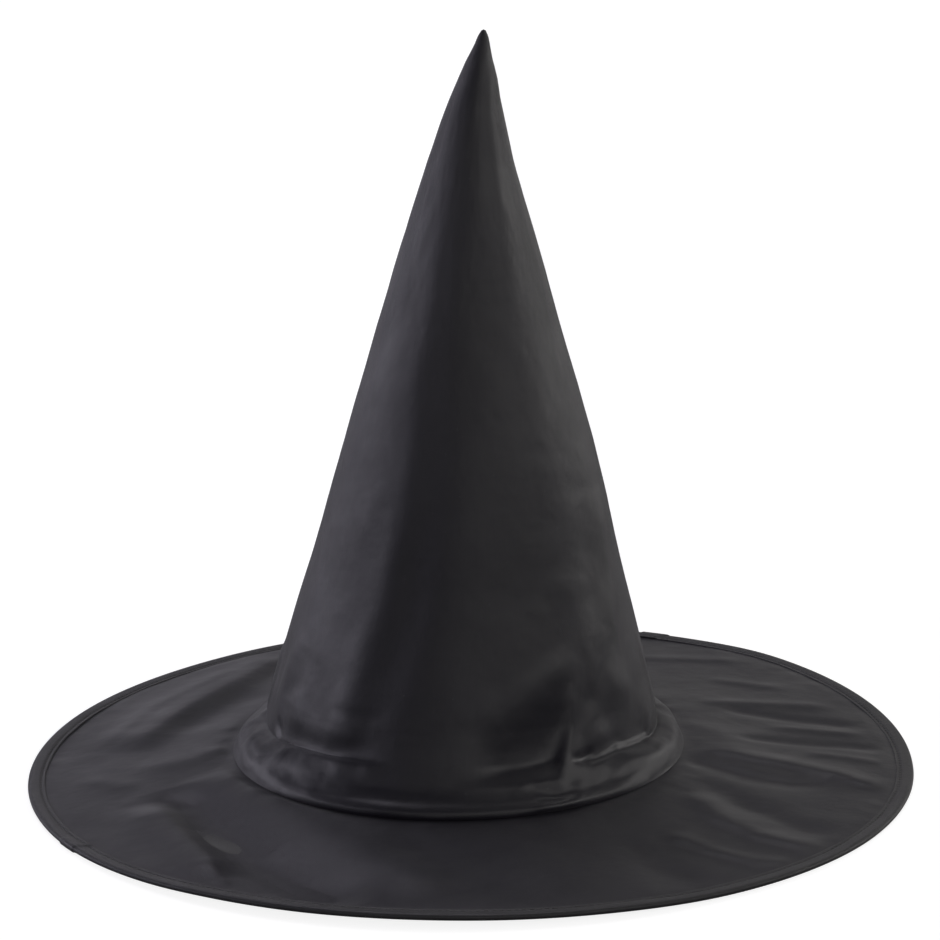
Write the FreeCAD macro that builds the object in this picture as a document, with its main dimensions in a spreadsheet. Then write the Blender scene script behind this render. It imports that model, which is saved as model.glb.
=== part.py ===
import FreeCAD, Part
import Sketcher
import os
import math

# Black satin witch hat with a wire-edged brim.
#
# Frame: +Z up, millimetres. The origin is the centre of the rim, on the flat
# plane the rim rests on. -Y is the front, +Y the back, where the crown's seam is.
#
# The crown is one fan-shaped panel of satin, rolled into a cone and closed by
# one seam at the back, with a liner of the same cut behind it. Both are held in
# three lengths, because the cone folds over at two heights: the lengths meet at
# open gaps, which give each fold its room.
# The brim is satin, stiffener and satin, with a folded binding round the edge
# that holds a spring-steel hoop. A ribbon sweatband lines the head opening.

doc = FreeCAD.newDocument("witch_hat")

# ---------------------------------------------------------------- dimensions
# Alias, value, meaning.
DIMS = [
    # brim and rim
    ("rim_radius", 190.0, "outer radius of the bound rim"),
    ("rim_height", 3.6, "height of the bound rim"),
    ("binding_thick", 0.55, "thickness of the folded binding"),
    ("binding_start", 182.8, "radius where the binding's folded edge lies"),
    ("wire_rad", 0.8, "radius of the spring-steel wire"),
    ("wire_gap_deg", 0.5, "opening between the hoop's two ends"),
    ("sleeve_bore", 0.85, "inner radius of the crimp sleeve"),
    ("sleeve_outer", 1.15, "outer radius of the crimp sleeve"),
    ("sleeve_arc", 5.5, "arc the crimp sleeve covers, degrees"),
    ("joint_azimuth", 63.5, "where the hoop's ends meet, degrees from +X"),
    ("groove_width", 0.7, "width of the line the stitching presses in"),
    ("groove_depth", 0.35, "depth of that line"),
    ("stitch_radius", 184.3, "radius of the row of edge stitching"),
    ("thread_rad", 0.15, "radius of the sewing thread"),
    ("cloth_thick", 0.6, "satin cover with its backing"),
    ("felt_thick", 1.0, "brim stiffener"),
    ("layer_gap", 0.05, "air between two layers"),
    ("brim_flat_start", 181.5, "radius where the brim turns level under the binding"),
    ("brim_end", 186.9, "outer radius of the brim's layers"),
    ("brim_start", 85.0, "inner radius the brim is drawn from"),
    ("brim_rise", 8.3, "how far the brim climbs to its drawn inner radius"),
    # head opening
    ("crown_shift", -5.5, "crown's centre from the rim's centre, along X"),
    ("hole_radius", 95.0, "hole in the brim"),
    ("hole_cut_height", 30.0, "height of the cut for the hole, from the rim's plane"),
    ("allow_foot", 2.0, "lower edge of the seam allowances"),
    ("allow_overlap", 0.3, "how far the allowances' blank enters the crown"),
    ("cover_allow_out", 94.7, "outer radius of the cover's seam allowance"),
    ("cover_allow_in", 94.1, "inner radius of the cover's seam allowance"),
    ("liner_allow_out", 94.0, "outer radius of the liner's seam allowance"),
    ("liner_allow_in", 93.4, "inner radius of the liner's seam allowance"),
    ("opening_overlap", 0.2, "how far the opening's cut enters the crown's cavity"),
    ("tape_out", 95.2, "outer radius of the tape over the raw edges"),
    ("tape_in", 92.9, "inner radius of the tape over the raw edges"),
    ("tape_thick", 0.4, "tape thickness"),
    ("tape_foot", 1.4, "lower edge of the tape"),
    ("tape_head", 6.4, "upper edge of the tape"),
    ("tape_thread_gap", 0.02, "air between the tape and its thread"),
    ("band_in", 92.0, "inner radius of the sweatband"),
    ("band_out", 92.8, "outer radius of the sweatband"),
    ("band_foot", 1.0, "lower edge of the sweatband"),
    ("band_straight", 12.2, "height where the sweatband starts to lean in"),
    ("band_first_step", 0.3, "how far its first leaning section steps in"),
    ("band_liner_gap", 0.1, "air between the sweatband and the crown liner"),
    ("band_cut_taper", 0.5, "how far the sweatband's cavity narrows above its top"),
    ("band_stitch", 4.0, "height of the row of stitches round the sweatband"),
    ("liner_thick", 0.6, "crown liner"),
    # cavities and back seam
    ("cut_overrun", 1.0, "how far a cavity's cut runs past an open end"),
    ("cut_taper", 0.25, "change in the crown cavity's radius over that length"),
    ("slit_width", 0.5, "gap between the two turned edges of the back seam"),
    ("slit_below_lower", 12.0, "how far the slit runs below the lower length"),
    ("slit_below", 1.0, "how far the slit runs below the other lengths"),
    ("slit_above", 3.0, "how far the slit runs above an open length"),
    ("seam_thread_rad", 0.2, "radius of the back seam's thread"),
    ("lower_thread_foot", 31.0, "foot of the lower length's seam thread"),
    ("lower_thread_head", 144.0, "head of the lower length's seam thread"),
    ("middle_thread_foot", 156.0, "foot of the middle length's seam thread"),
    ("middle_thread_head", 228.0, "head of the middle length's seam thread"),
    ("tip_thread_foot", 242.0, "foot of the tip's seam thread"),
    ("tip_thread_head", 306.0, "head of the tip's seam thread"),
    # care label
    ("label_width", 20.0, "width of the care label"),
    ("label_drop", 28.0, "length of the care label"),
    ("label_thick", 0.4, "thickness of the folded care label"),
    ("label_y", 71.6, "hem of the care label, along Y"),
    ("label_z", 62.8, "hem of the care label, height"),
    ("label_hem_out", 0.55, "outer radius of the label's rolled hem"),
    ("label_hem_in", 0.26, "inner radius of the label's rolled hem"),
    ("label_leaf_top", 0.3, "top of the label's leaf, below the hem's centre"),
    ("label_bar_rad", 0.2, "radius of the stitch the label hangs from"),
    ("label_bar_reach", 1.2, "how far that stitch passes the label on each side"),
    ("label_bar_post", 0.95, "length of that stitch's turned ends, back to the liner"),
]

# Crown sections, from the foot to the point: height, outer radius of the cover,
# centre along X. The cone leans a little towards +X at its point, and its slack
# cloth rolls out over the brim at its foot.
LOWER_SECTIONS = [
    (11.0, 96.5, -5.5), (13.5, 96.3, -5.45), (16.8, 94.7, -5.08),
    (21.8, 90.6, -4.48), (26.0, 86.4, -3.99), (31.0, 83.2, -3.59),
    (40.0, 80.7, -3.2), (66.0, 74.0, -2.27), (101.0, 63.9, -0.35),
    (145.0, 52.65, 1.41),
]
MIDDLE_SECTIONS = [
    (155.0, 49.9, 1.62), (180.0, 42.7, 2.08), (214.0, 32.8, 3.08),
    (229.0, 28.45, 3.44),
]
TIP_SECTIONS = [
    (241.0, 25.0, 3.69), (248.6, 22.85, 3.84), (265.6, 17.7, 4.44),
    (282.5, 13.4, 5.84), (291.0, 10.8, 6.72), (299.3, 8.3, 8.04),
    (307.7, 5.35, 9.01), (314.3, 3.0, 10.25), (318.0, 1.7, 10.67),
    (320.0, 0.8, 10.87),
]
SECTIONS = LOWER_SECTIONS + MIDDLE_SECTIONS + TIP_SECTIONS


def numbered(part, sections):
    return ["%s_%d" % (part, number) for number in range(1, len(sections) + 1)]


# Names of the sections, as the sheet's aliases start
LOWER = numbered("lower", LOWER_SECTIONS)
MIDDLE = numbered("middle", MIDDLE_SECTIONS)
TIP = numbered("tip", TIP_SECTIONS)


def lean_factor(index):
    """The wall's level width at a section is its thickness times this number."""
    height, radius, _ = SECTIONS[index]
    slopes = []
    for other in (index - 1, index + 1):
        if 0 <= other < len(SECTIONS):
            other_height, other_radius, _ = SECTIONS[other]
            slopes.append(abs(other_radius - radius) / abs(other_height - height))
    slope = sum(slopes) / len(slopes)
    return round(math.sqrt(1.0 + slope * slope), 4)


rows = list(DIMS)
for index, name in enumerate(LOWER + MIDDLE + TIP):
    height, radius, centre = SECTIONS[index]
    rows += [
        (name + "_height", height, "crown section %s, height" % name),
        (name + "_radius", radius, "crown section %s, radius" % name),
        (name + "_centre", centre, "crown section %s, centre in X" % name),
        (name + "_lean", lean_factor(index), "crown section %s, lean" % name),
    ]
VALUES = {name: value for name, value, _ in rows}

sheet = doc.addObject("Spreadsheet::Sheet", "dims")
for column, heading in (("A", "dimension"), ("B", "value"), ("C", "meaning")):
    sheet.set(column + "1", heading)
for line, (name, value, meaning) in enumerate(rows, start=2):
    sheet.set("A%d" % line, name)
    sheet.set("B%d" % line, str(value))
    sheet.set("C%d" % line, meaning)
    sheet.setAlias("B%d" % line, name)
doc.recompute()


class Dim:
    """A length that knows both its value and the sheet expression behind it."""

    def __init__(self, value, text):
        self.value = float(value)
        self.text = text

    def __add__(self, other):
        other = dim(other)
        return Dim(self.value + other.value, "(%s + %s)" % (self.text, other.text))

    def __sub__(self, other):
        other = dim(other)
        return Dim(self.value - other.value, "(%s - %s)" % (self.text, other.text))

    def __mul__(self, other):
        other = dim(other)
        return Dim(self.value * other.value, "(%s * %s)" % (self.text, other.text))

    def __truediv__(self, other):
        other = dim(other)
        return Dim(self.value / other.value, "(%s / %s)" % (self.text, other.text))

    def __neg__(self):
        return Dim(-self.value, "(0 - %s)" % self.text)


def dim(x):
    return x if isinstance(x, Dim) else Dim(x, repr(float(x)))


def size(name):
    """A dimension of the sheet."""
    return Dim(VALUES[name], "dims." + name)


def bind(obj, path, length, unit="mm"):
    """Drives a property of the object from the sheet."""
    obj.setExpression(path, "1 %s * %s" % (unit, length.text))


# ------------------------------------------------------------------ sketches
def new_body(label):
    return doc.addObject("PartDesign::Body", label)


def new_sketch(body, name, plane, offset=None):
    """A sketch on one of the body's planes, moved along the plane's normal
    (+Z for XY, -Y for XZ, +X for YZ)."""
    support = next(item for item in body.Origin.OriginFeatures if item.Role == plane)
    sketch = body.newObject("Sketcher::SketchObject", name)
    sketch.AttachmentSupport = [(support, "")]
    sketch.MapMode = "FlatFace"
    if offset is not None:
        offset = dim(offset)
        sketch.AttachmentOffset = FreeCAD.Placement(
            FreeCAD.Vector(0, 0, offset.value), FreeCAD.Rotation()
        )
        bind(sketch, "AttachmentOffset.Base.z", offset)
    return sketch


def name_constraint(sketch, constraint, name, length):
    index = sketch.addConstraint(constraint)
    sketch.renameConstraint(index, name)
    bind(sketch, "Constraints." + name, length)


def pin_coordinate(sketch, kind, geo, pos, length, name):
    """Fixes one coordinate of a point, measured from the sketch's origin."""
    length = dim(length)
    if abs(length.value) < 1e-9:
        axis = -1 if kind == "DistanceY" else -2
        sketch.addConstraint(Sketcher.Constraint("PointOnObject", geo, pos, axis))
        return
    # a distance is kept positive, so a negative one is measured back to the origin
    if length.value > 0:
        constraint = Sketcher.Constraint(kind, -1, 1, geo, pos, length.value)
    else:
        length = -length
        constraint = Sketcher.Constraint(kind, geo, pos, -1, 1, length.value)
    name_constraint(sketch, constraint, name, length)


def draw_circles(sketch, circles):
    """Circles given as (centre x, centre y, radius)."""
    for number, values in enumerate(circles):
        x, y, radius = (dim(value) for value in values)
        tag = "circle%d_" % number
        geo = sketch.addGeometry(
            Part.Circle(
                FreeCAD.Vector(x.value, y.value, 0), FreeCAD.Vector(0, 0, 1), radius.value
            )
        )
        pin_coordinate(sketch, "DistanceX", geo, 3, x, tag + "x")
        pin_coordinate(sketch, "DistanceY", geo, 3, y, tag + "y")
        constraint = Sketcher.Constraint("Radius", geo, radius.value)
        name_constraint(sketch, constraint, tag + "radius", radius)


def draw_outline(sketch, points, half_circles=()):
    """A closed outline through the points. The upright edges numbered in
    half_circles bulge towards +X as half circles."""
    count = len(points)
    points = [(dim(x), dim(y)) for x, y in points]
    corners = [FreeCAD.Vector(x.value, y.value, 0) for x, y in points]
    geos = []
    for k in range(count):
        start, end = corners[k], corners[(k + 1) % count]
        if k in half_circles:
            low, high = (start, end) if start.y < end.y else (end, start)
            bulge = FreeCAD.Vector(low.x + (high.y - low.y) / 2, (low.y + high.y) / 2, 0)
            edge = Part.Arc(low, bulge, high)
        else:
            edge = Part.LineSegment(start, end)
        geos.append(sketch.addGeometry(edge))

    # each edge's (start, end) vertex ids, in the outline's direction
    made = sketch.Geometry
    ends = []
    for geo, corner in zip(geos, corners):
        same_way = (made[geo].StartPoint - corner).Length < 1e-6
        ends.append((1, 2) if same_way else (2, 1))

    for k in range(count):
        after = (k + 1) % count
        sketch.addConstraint(
            Sketcher.Constraint("Coincident", geos[k], ends[k][1], geos[after], ends[after][0])
        )
    for k, (x, y) in enumerate(points):
        pin_coordinate(sketch, "DistanceX", geos[k], ends[k][0], x, "point%d_x" % k)
        pin_coordinate(sketch, "DistanceY", geos[k], ends[k][0], y, "point%d_y" % k)
    for k in half_circles:
        pin_coordinate(sketch, "DistanceX", geos[k], 3, points[k][0], "arc%d_x" % k)


# ------------------------------------------------------------------ features
def spin(body, sketch, angle=None):
    """Turns a profile about the body's own Z axis, all the way unless told."""
    turn = body.newObject("PartDesign::Revolution", body.Name + "_turn")
    turn.Profile = (sketch, [""])
    turn.ReferenceAxis = (sketch, ["V_Axis"])
    if angle is None:
        turn.Angle = 360.0
    else:
        turn.Angle = angle.value
        bind(turn, "Angle", angle, "deg")
    doc.recompute()


def spin_circles(body, circles, angle=None):
    sketch = new_sketch(body, body.Name + "_profile", "XZ_Plane")
    draw_circles(sketch, circles)
    spin(body, sketch, angle)


def spin_outline(body, points, half_circles=()):
    sketch = new_sketch(body, body.Name + "_profile", "XZ_Plane")
    draw_outline(sketch, points, half_circles)
    spin(body, sketch)


def loft(body, name, rings, cut=False):
    """A loft through level circles: (height, radius, centre along X)."""
    sketches = []
    for number, (height, radius, centre) in enumerate(rings):
        sketch = new_sketch(body, "%s_ring_%d" % (name, number), "XY_Plane", height)
        draw_circles(sketch, [(centre, 0.0, radius)])
        sketches.append(sketch)
    kind = "PartDesign::SubtractiveLoft" if cut else "PartDesign::AdditiveLoft"
    feature = body.newObject(kind, name)
    feature.Profile = sketches[0]
    feature.Sections = sketches[1:]
    feature.Ruled = True
    doc.recompute()


def pad(body, name, sketch, length, **options):
    feature = body.newObject("PartDesign::Pad", name)
    feature.Profile = sketch
    feature.Length = length.value
    bind(feature, "Length", length)
    for option, value in options.items():
        setattr(feature, option, value)
    doc.recompute()


def pocket(body, name, sketch, length=None, **options):
    """Cuts against the sketch's normal, through everything if no length is given."""
    before = body.Shape.Volume
    feature = body.newObject("PartDesign::Pocket", name)
    feature.Profile = sketch
    if length is None:
        feature.Type = 1
    else:
        feature.Type = 0
        feature.Length = length.value
        bind(feature, "Length", length)
    for option, value in options.items():
        setattr(feature, option, value)
    doc.recompute()
    if body.Shape.Volume >= before - 1e-6:
        raise RuntimeError(name + " cut nothing")


def cut_head_hole(body, name, height, length, radius):
    """A round hole about the head opening's axis, from height upwards."""
    sketch = new_sketch(body, name + "_sketch", "XY_Plane", height)
    draw_circles(sketch, [(size("crown_shift"), 0.0, radius)])
    pocket(body, name, sketch, length, Reversed=True)


def move_along_x(body, distance):
    body.Placement = FreeCAD.Placement(
        FreeCAD.Vector(distance.value, 0, 0), FreeCAD.Rotation()
    )
    bind(body, "Placement.Base.x", distance)


def turn_about_z(body, angle):
    body.Placement = FreeCAD.Placement(
        FreeCAD.Vector(0, 0, 0), FreeCAD.Rotation(FreeCAD.Vector(0, 0, 1), angle.value)
    )
    bind(body, "Placement.Rotation.Angle", angle, "deg")


# Sizes that several pieces share
cloth = size("cloth_thick")
gap = size("layer_gap")
groove = size("groove_depth")
thread_rad = size("thread_rad")
crown_shift = size("crown_shift")
rim_height = size("rim_height")
hoop_height = rim_height / 2.0
hoop_radius = size("rim_radius") - hoop_height
liner_inset = cloth + gap


# ----------------------------------------------------------------- the brim
def brim_layer(label, foot, thick):
    """One layer: it falls in a straight line from the head opening to the rim,
    and turns level where the binding grips it."""
    body = new_body(label)
    start, flat, end = size("brim_start"), size("brim_flat_start"), size("brim_end")
    rise = size("brim_rise")
    spin_outline(
        body,
        [
            (start, foot + rise),
            (flat, foot),
            (end, foot),
            (end, foot + thick),
            (flat, foot + thick),
            (start, foot + thick + rise),
        ],
    )
    cut_head_hole(body, label + "_hole", 0.0, size("hole_cut_height"), size("hole_radius"))


def rim_binding():
    """A strip folded in half over the brim's edge, its fold round the wire.
    Each leg has a pressed line where the stitches pull the cloth in."""
    start, thick = size("binding_start"), size("binding_thick")
    groove_in = size("stitch_radius") - size("groove_width") / 2.0
    groove_out = size("stitch_radius") + size("groove_width") / 2.0
    spin_outline(
        new_body("rim_binding"),
        [
            (start, 0.0),
            (groove_in, 0.0),
            (groove_in, groove),
            (groove_out, groove),
            (groove_out, 0.0),
            (hoop_radius, 0.0),
            (hoop_radius, rim_height),
            (groove_out, rim_height),
            (groove_out, rim_height - groove),
            (groove_in, rim_height - groove),
            (groove_in, rim_height),
            (start, rim_height),
            (start, rim_height - thick),
            (hoop_radius, rim_height - thick),
            (hoop_radius, thick),
            (start, thick),
        ],
        half_circles=(5, 13),
    )


def rim_edge_stitching():
    """Needle thread above and bobbin thread below, each in its pressed line."""
    body = new_body("rim_edge_stitching")
    body.AllowCompound = True
    radius = size("stitch_radius")
    spin_circles(
        body,
        [
            (radius, rim_height - groove / 2.0, thread_rad),
            (radius, groove / 2.0, thread_rad),
        ],
    )


def rim_wire():
    """Spring-steel hoop, open where its ends meet."""
    body = new_body("rim_wire")
    opening = size("wire_gap_deg")
    spin_circles(body, [(hoop_radius, hoop_height, size("wire_rad"))], dim(360.0) - opening)
    turn_about_z(body, size("joint_azimuth") + opening / 2.0)


def rim_wire_sleeve():
    """Sleeve crimped over the hoop's two ends."""
    body = new_body("rim_wire_sleeve")
    arc = size("sleeve_arc")
    walls = [
        (hoop_radius, hoop_height, size("sleeve_outer")),
        (hoop_radius, hoop_height, size("sleeve_bore")),
    ]
    spin_circles(body, walls, arc)
    turn_about_z(body, size("joint_azimuth") - arc / 2.0)


under_foot = size("binding_thick") + gap
felt_foot = under_foot + cloth + gap
top_foot = felt_foot + size("felt_thick") + gap
brim_layer("brim_under_cover", under_foot, cloth)
brim_layer("brim_stiffener", felt_foot, size("felt_thick"))
brim_layer("brim_top_cover", top_foot, cloth)
rim_binding()
rim_edge_stitching()
rim_wire()
rim_wire_sleeve()


# ---------------------------------------------------------------- the crown
def crown_rings(names, inset):
    """Crown sections, with the wall moved in by inset square to itself."""
    return [
        (
            size(name + "_height"),
            size(name + "_radius") - inset * size(name + "_lean"),
            size(name + "_centre"),
        )
        for name in names
    ]


def lift_foot(rings, lift):
    """Raises the lowest ring, where the crown turns in under its roll."""
    height, radius, centre = rings[0]
    return [(height + lift, radius, centre)] + rings[1:]


def ring_below(ring):
    height, radius, centre = ring
    return (height - size("cut_overrun"), radius + size("cut_taper"), centre)


def ring_above(ring, taper):
    height, radius, centre = ring
    return (height + size("cut_overrun"), radius - taper, centre)


def back_slit(body, names, below, above=None):
    """The line where the panel's two turned edges meet, at the back (+Y)."""
    stations = [(size(name + "_height"), size(name + "_centre")) for name in names]
    foot, foot_centre = stations[0]
    head, head_centre = stations[-1]
    stations.insert(0, (foot - below, foot_centre))
    if above is not None:
        stations.append((head + above, head_centre))
    half_width = size("slit_width") / 2.0
    right = [(centre + half_width, height) for height, centre in stations]
    left = [(centre - half_width, height) for height, centre in stations]
    sketch = new_sketch(body, body.Name + "_slit_sketch", "XZ_Plane")
    draw_outline(sketch, right + left[::-1])
    pocket(body, body.Name + "_slit", sketch)


def crown_lower(layer, inset, thick):
    """The crown's lowest length: the cone, the roll of slack cloth at its foot,
    and the seam allowance that turns down through the brim's hole."""
    label = "crown_%s_lower" % layer
    body = new_body(label)
    foot = size(LOWER[0] + "_height") + inset
    loft(body, label + "_outside", lift_foot(crown_rings(LOWER, inset), inset))

    # seam allowance, hollowed out by the opening below
    sketch = new_sketch(body, label + "_allowance_sketch", "XY_Plane", size("allow_foot"))
    draw_circles(sketch, [(crown_shift, 0.0, size(layer + "_allow_out"))])
    rise = foot - size("allow_foot") + size("allow_overlap")
    pad(body, label + "_allowance", sketch, rise)

    inside = inset + thick
    cavity = lift_foot(crown_rings(LOWER, inside), inside)
    cavity.append(ring_above(cavity[-1], size("cut_taper")))
    loft(body, label + "_inside", cavity, cut=True)
    opening_head = foot + thick + size("opening_overlap")
    cut_head_hole(body, label + "_opening", 0.0, opening_head, size(layer + "_allow_in"))
    back_slit(body, LOWER, size("slit_below_lower"), size("slit_above"))


def crown_middle(layer, inset, thick):
    """The length between the two folds, open at both ends."""
    label = "crown_%s_middle" % layer
    body = new_body(label)
    loft(body, label + "_outside", crown_rings(MIDDLE, inset))
    cavity = crown_rings(MIDDLE, inset + thick)
    cavity = [ring_below(cavity[0])] + cavity + [ring_above(cavity[-1], size("cut_taper"))]
    loft(body, label + "_inside", cavity, cut=True)
    back_slit(body, MIDDLE, size("slit_below"), size("slit_above"))


def crown_tip(layer, inset, thick, names, cavity_names):
    """The point, which is closed: its cavity ends below the top."""
    label = "crown_%s_tip" % layer
    body = new_body(label)
    loft(body, label + "_outside", crown_rings(names, inset))
    cavity = crown_rings(cavity_names, inset + thick)
    loft(body, label + "_inside", [ring_below(cavity[0])] + cavity, cut=True)
    back_slit(body, TIP[:7], size("slit_below"))


def seam_thread(part, names):
    """Thread of the back seam, running up inside the slit at mid-cloth."""
    foot, head = VALUES[part + "_thread_foot"], VALUES[part + "_thread_head"]
    knots = [
        FreeCAD.Vector(centre.value, radius.value, height.value)
        for height, radius, centre in crown_rings(names, cloth / 2.0)
    ]

    def point_at(z):
        for below, above in zip(knots[:-1], knots[1:]):
            if below.z - 1e-9 <= z <= above.z + 1e-9:
                share = (z - below.z) / (above.z - below.z)
                return FreeCAD.Vector(
                    below.x + share * (above.x - below.x),
                    below.y + share * (above.y - below.y),
                    z,
                )
        raise RuntimeError("the %s seam thread leaves its length" % part)

    heights = [foot] + [knot.z for knot in knots if foot < knot.z < head] + [head]
    path = [point_at(z) for z in heights]
    radius = VALUES["seam_thread_rad"]
    shape = None
    for start, end in zip(path[:-1], path[1:]):
        piece = Part.makeCylinder(radius, (end - start).Length, start, end - start)
        shape = piece if shape is None else shape.fuse(piece)
    for bend in path[1:-1]:
        shape = shape.fuse(Part.makeSphere(radius, bend))
    shape = shape.removeSplitter()
    if shape.ShapeType == "Compound" and len(shape.Solids) == 1:
        shape = shape.Solids[0]
    feature = doc.addObject("Part::Feature", "back_seam_thread_" + part)
    feature.Shape = shape


for layer, inset, thick, tip_count in (
    ("cover", dim(0.0), cloth, 10),
    ("liner", liner_inset, size("liner_thick"), 8),
):
    crown_lower(layer, inset, thick)
    crown_middle(layer, inset, thick)
    # the cover's cavity reaches section 8 of the tip, the liner's section 7
    cavity_count = 8 if layer == "cover" else 7
    crown_tip(layer, inset, thick, TIP[:tip_count], TIP[:cavity_count])

for part, names in (("lower", LOWER), ("middle", MIDDLE), ("tip", TIP)):
    seam_thread(part, names)


# ---------------------------------------------------------- the head opening
def sweatband():
    """Upright where the head sits, then leaning in with the crown."""
    body = new_body("sweatband")
    band_in, band_out = size("band_in"), size("band_out")
    foot, straight = size("band_foot"), size("band_straight")
    lean_names = LOWER[2:6]
    lean = crown_rings(lean_names, liner_inset + size("liner_thick") + size("band_liner_gap"))
    lean[0] = (lean[0][0], band_out - size("band_first_step"), lean[0][2])
    upright = [(foot, band_out, crown_shift), (straight, band_out, crown_shift)]
    loft(body, "sweatband_outside", upright + lean)

    inside = [
        (foot - size("cut_overrun"), band_in, crown_shift),
        (straight, band_in, crown_shift),
    ]
    for name, (height, radius, centre) in zip(lean_names, lean):
        wall = (band_out - band_in) * size(name + "_lean")
        inside.append((height, radius - wall, centre))
    inside.append(ring_above(inside[-1], size("band_cut_taper")))
    loft(body, "sweatband_inside", inside, cut=True)

    # pressed line round the inside, where the stitches pull the ribbon in
    width = size("groove_width")
    line_foot = size("band_stitch") - width / 2.0
    cut_head_hole(body, "sweatband_line", line_foot, width, band_in + groove)


def head_seam_tape():
    """Tape folded over the raw edges of the seam allowances."""
    body = new_body("head_seam_tape")
    inner, outer, thick = size("tape_in"), size("tape_out"), size("tape_thick")
    foot, head = size("tape_foot"), size("tape_head")
    spin_outline(
        body,
        [
            (inner, foot),
            (outer, foot),
            (outer, head),
            (outer - thick, head),
            (outer - thick, foot + thick),
            (inner + thick, foot + thick),
            (inner + thick, head),
            (inner, head),
        ],
    )
    move_along_x(body, crown_shift)


def head_seam_stitching():
    """Two threads: inside on the sweatband, outside on the tape."""
    body = new_body("head_seam_stitching")
    body.AllowCompound = True
    height = size("band_stitch")
    on_tape = size("tape_out") + thread_rad + size("tape_thread_gap")
    spin_circles(
        body,
        [
            (size("band_in") + groove / 2.0, height, thread_rad),
            (on_tape, height, thread_rad),
        ],
    )
    move_along_x(body, crown_shift)


sweatband()
head_seam_tape()
head_seam_stitching()

# ------------------------------------------------------------ the care label
label_y, label_z = size("label_y"), size("label_z")
label_width = size("label_width")
label_centre = size(LOWER[7] + "_centre")


def hem_circle(body, name, radius):
    """A circle about the hem's axis, which runs along X."""
    sketch = new_sketch(body, name + "_profile", "YZ_Plane")
    draw_circles(sketch, [(label_y, label_z, radius)])
    return sketch


def care_label():
    """A folded ribbon with a rolled, hollow hem along its top."""
    body = new_body("care_label")
    hem = hem_circle(body, "care_label_hem", size("label_hem_out"))
    pad(body, "care_label_hem", hem, label_width, Midplane=True)

    half_thick = size("label_thick") / 2.0
    foot = label_z - size("label_drop")
    head = label_z - size("label_leaf_top")
    leaf = new_sketch(body, "care_label_leaf_profile", "YZ_Plane")
    draw_outline(
        leaf,
        [
            (label_y - half_thick, foot),
            (label_y + half_thick, foot),
            (label_y + half_thick, head),
            (label_y - half_thick, head),
        ],
    )
    pad(body, "care_label_leaf", leaf, label_width, Midplane=True)

    eye = hem_circle(body, "care_label_eye", size("label_hem_in"))
    pocket(body, "care_label_eye", eye, Midplane=True)
    move_along_x(body, label_centre)


def care_label_stitch():
    """The stitch the label hangs from: a bar, both ends turned back to the liner."""
    body = new_body("care_label_stitch")
    radius = size("label_bar_rad")
    length = label_width + size("label_bar_reach") * 2.0
    bar = hem_circle(body, "care_label_bar", radius)
    pad(body, "care_label_bar", bar, length, Midplane=True)
    # end posts, along +Y from the bar to the liner
    for side, name in ((-1.0, "left"), (1.0, "right")):
        name = "care_label_post_" + name
        sketch = new_sketch(body, name + "_sketch", "XZ_Plane", -label_y)
        draw_circles(sketch, [(dim(side) * (length / 2.0 - radius), label_z, radius)])
        pad(body, name, sketch, size("label_bar_post"), Reversed=True)
    move_along_x(body, label_centre)


care_label()
care_label_stitch()

# --------------------------------------------------------------------- write
NODES = [
    "brim_top_cover",
    "brim_stiffener",
    "brim_under_cover",
    "rim_binding",
    "rim_edge_stitching",
    "rim_wire",
    "rim_wire_sleeve",
    "crown_cover_lower",
    "crown_cover_middle",
    "crown_cover_tip",
    "crown_liner_lower",
    "crown_liner_middle",
    "crown_liner_tip",
    "back_seam_thread_lower",
    "back_seam_thread_middle",
    "back_seam_thread_tip",
    "sweatband",
    "head_seam_tape",
    "head_seam_stitching",
    "care_label",
    "care_label_stitch",
]

doc.recompute()
for obj in doc.Objects:
    for bad in ("Invalid", "Error"):
        if bad in obj.State:
            raise RuntimeError("%s is %s" % (obj.Label, bad))

shapes = {node: doc.getObject(node).Shape for node in NODES}
for node, shape in shapes.items():
    if shape.isNull() or not shape.isValid() or not shape.Solids:
        raise RuntimeError("%s has no valid solid" % node)
    if any(solid.Volume <= 0 for solid in shape.Solids):
        raise RuntimeError("%s holds an empty solid" % node)

os.makedirs("parts", exist_ok=True)
for node, shape in shapes.items():
    shape.exportStep(os.path.join("parts", node + ".step"))
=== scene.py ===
# A tall pointed hat with a wide wired brim, standing on the table at z = 0.
# The front faces -Y (azimuth 270), the back seam is at +Y (azimuth 90), azimuth 0 is +X.
# Left and right are meant as seen from the front: left is -X, right is +X.
# Shapes are worked out in millimetres, and turned to metres when a mesh is made.
import bpy
import math
import numpy as np
from mathutils import Matrix, Vector


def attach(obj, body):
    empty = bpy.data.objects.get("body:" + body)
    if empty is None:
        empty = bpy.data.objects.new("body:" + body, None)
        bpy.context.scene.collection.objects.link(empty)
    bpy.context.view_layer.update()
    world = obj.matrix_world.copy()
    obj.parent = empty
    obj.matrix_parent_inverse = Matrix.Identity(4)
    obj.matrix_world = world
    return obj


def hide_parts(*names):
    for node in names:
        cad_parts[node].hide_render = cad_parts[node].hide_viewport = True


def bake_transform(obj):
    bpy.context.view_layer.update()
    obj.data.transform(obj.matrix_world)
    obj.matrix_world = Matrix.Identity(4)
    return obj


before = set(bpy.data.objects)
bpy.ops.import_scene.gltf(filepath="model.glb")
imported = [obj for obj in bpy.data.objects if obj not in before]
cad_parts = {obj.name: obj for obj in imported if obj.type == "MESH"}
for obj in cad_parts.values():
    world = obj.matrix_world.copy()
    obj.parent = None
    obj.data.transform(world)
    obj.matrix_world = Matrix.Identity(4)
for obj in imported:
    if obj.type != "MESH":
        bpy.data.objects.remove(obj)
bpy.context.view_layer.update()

METRES = 0.001                     # one millimetre
BACK, FRONT = 90.0, 270.0          # azimuths, degrees
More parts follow.
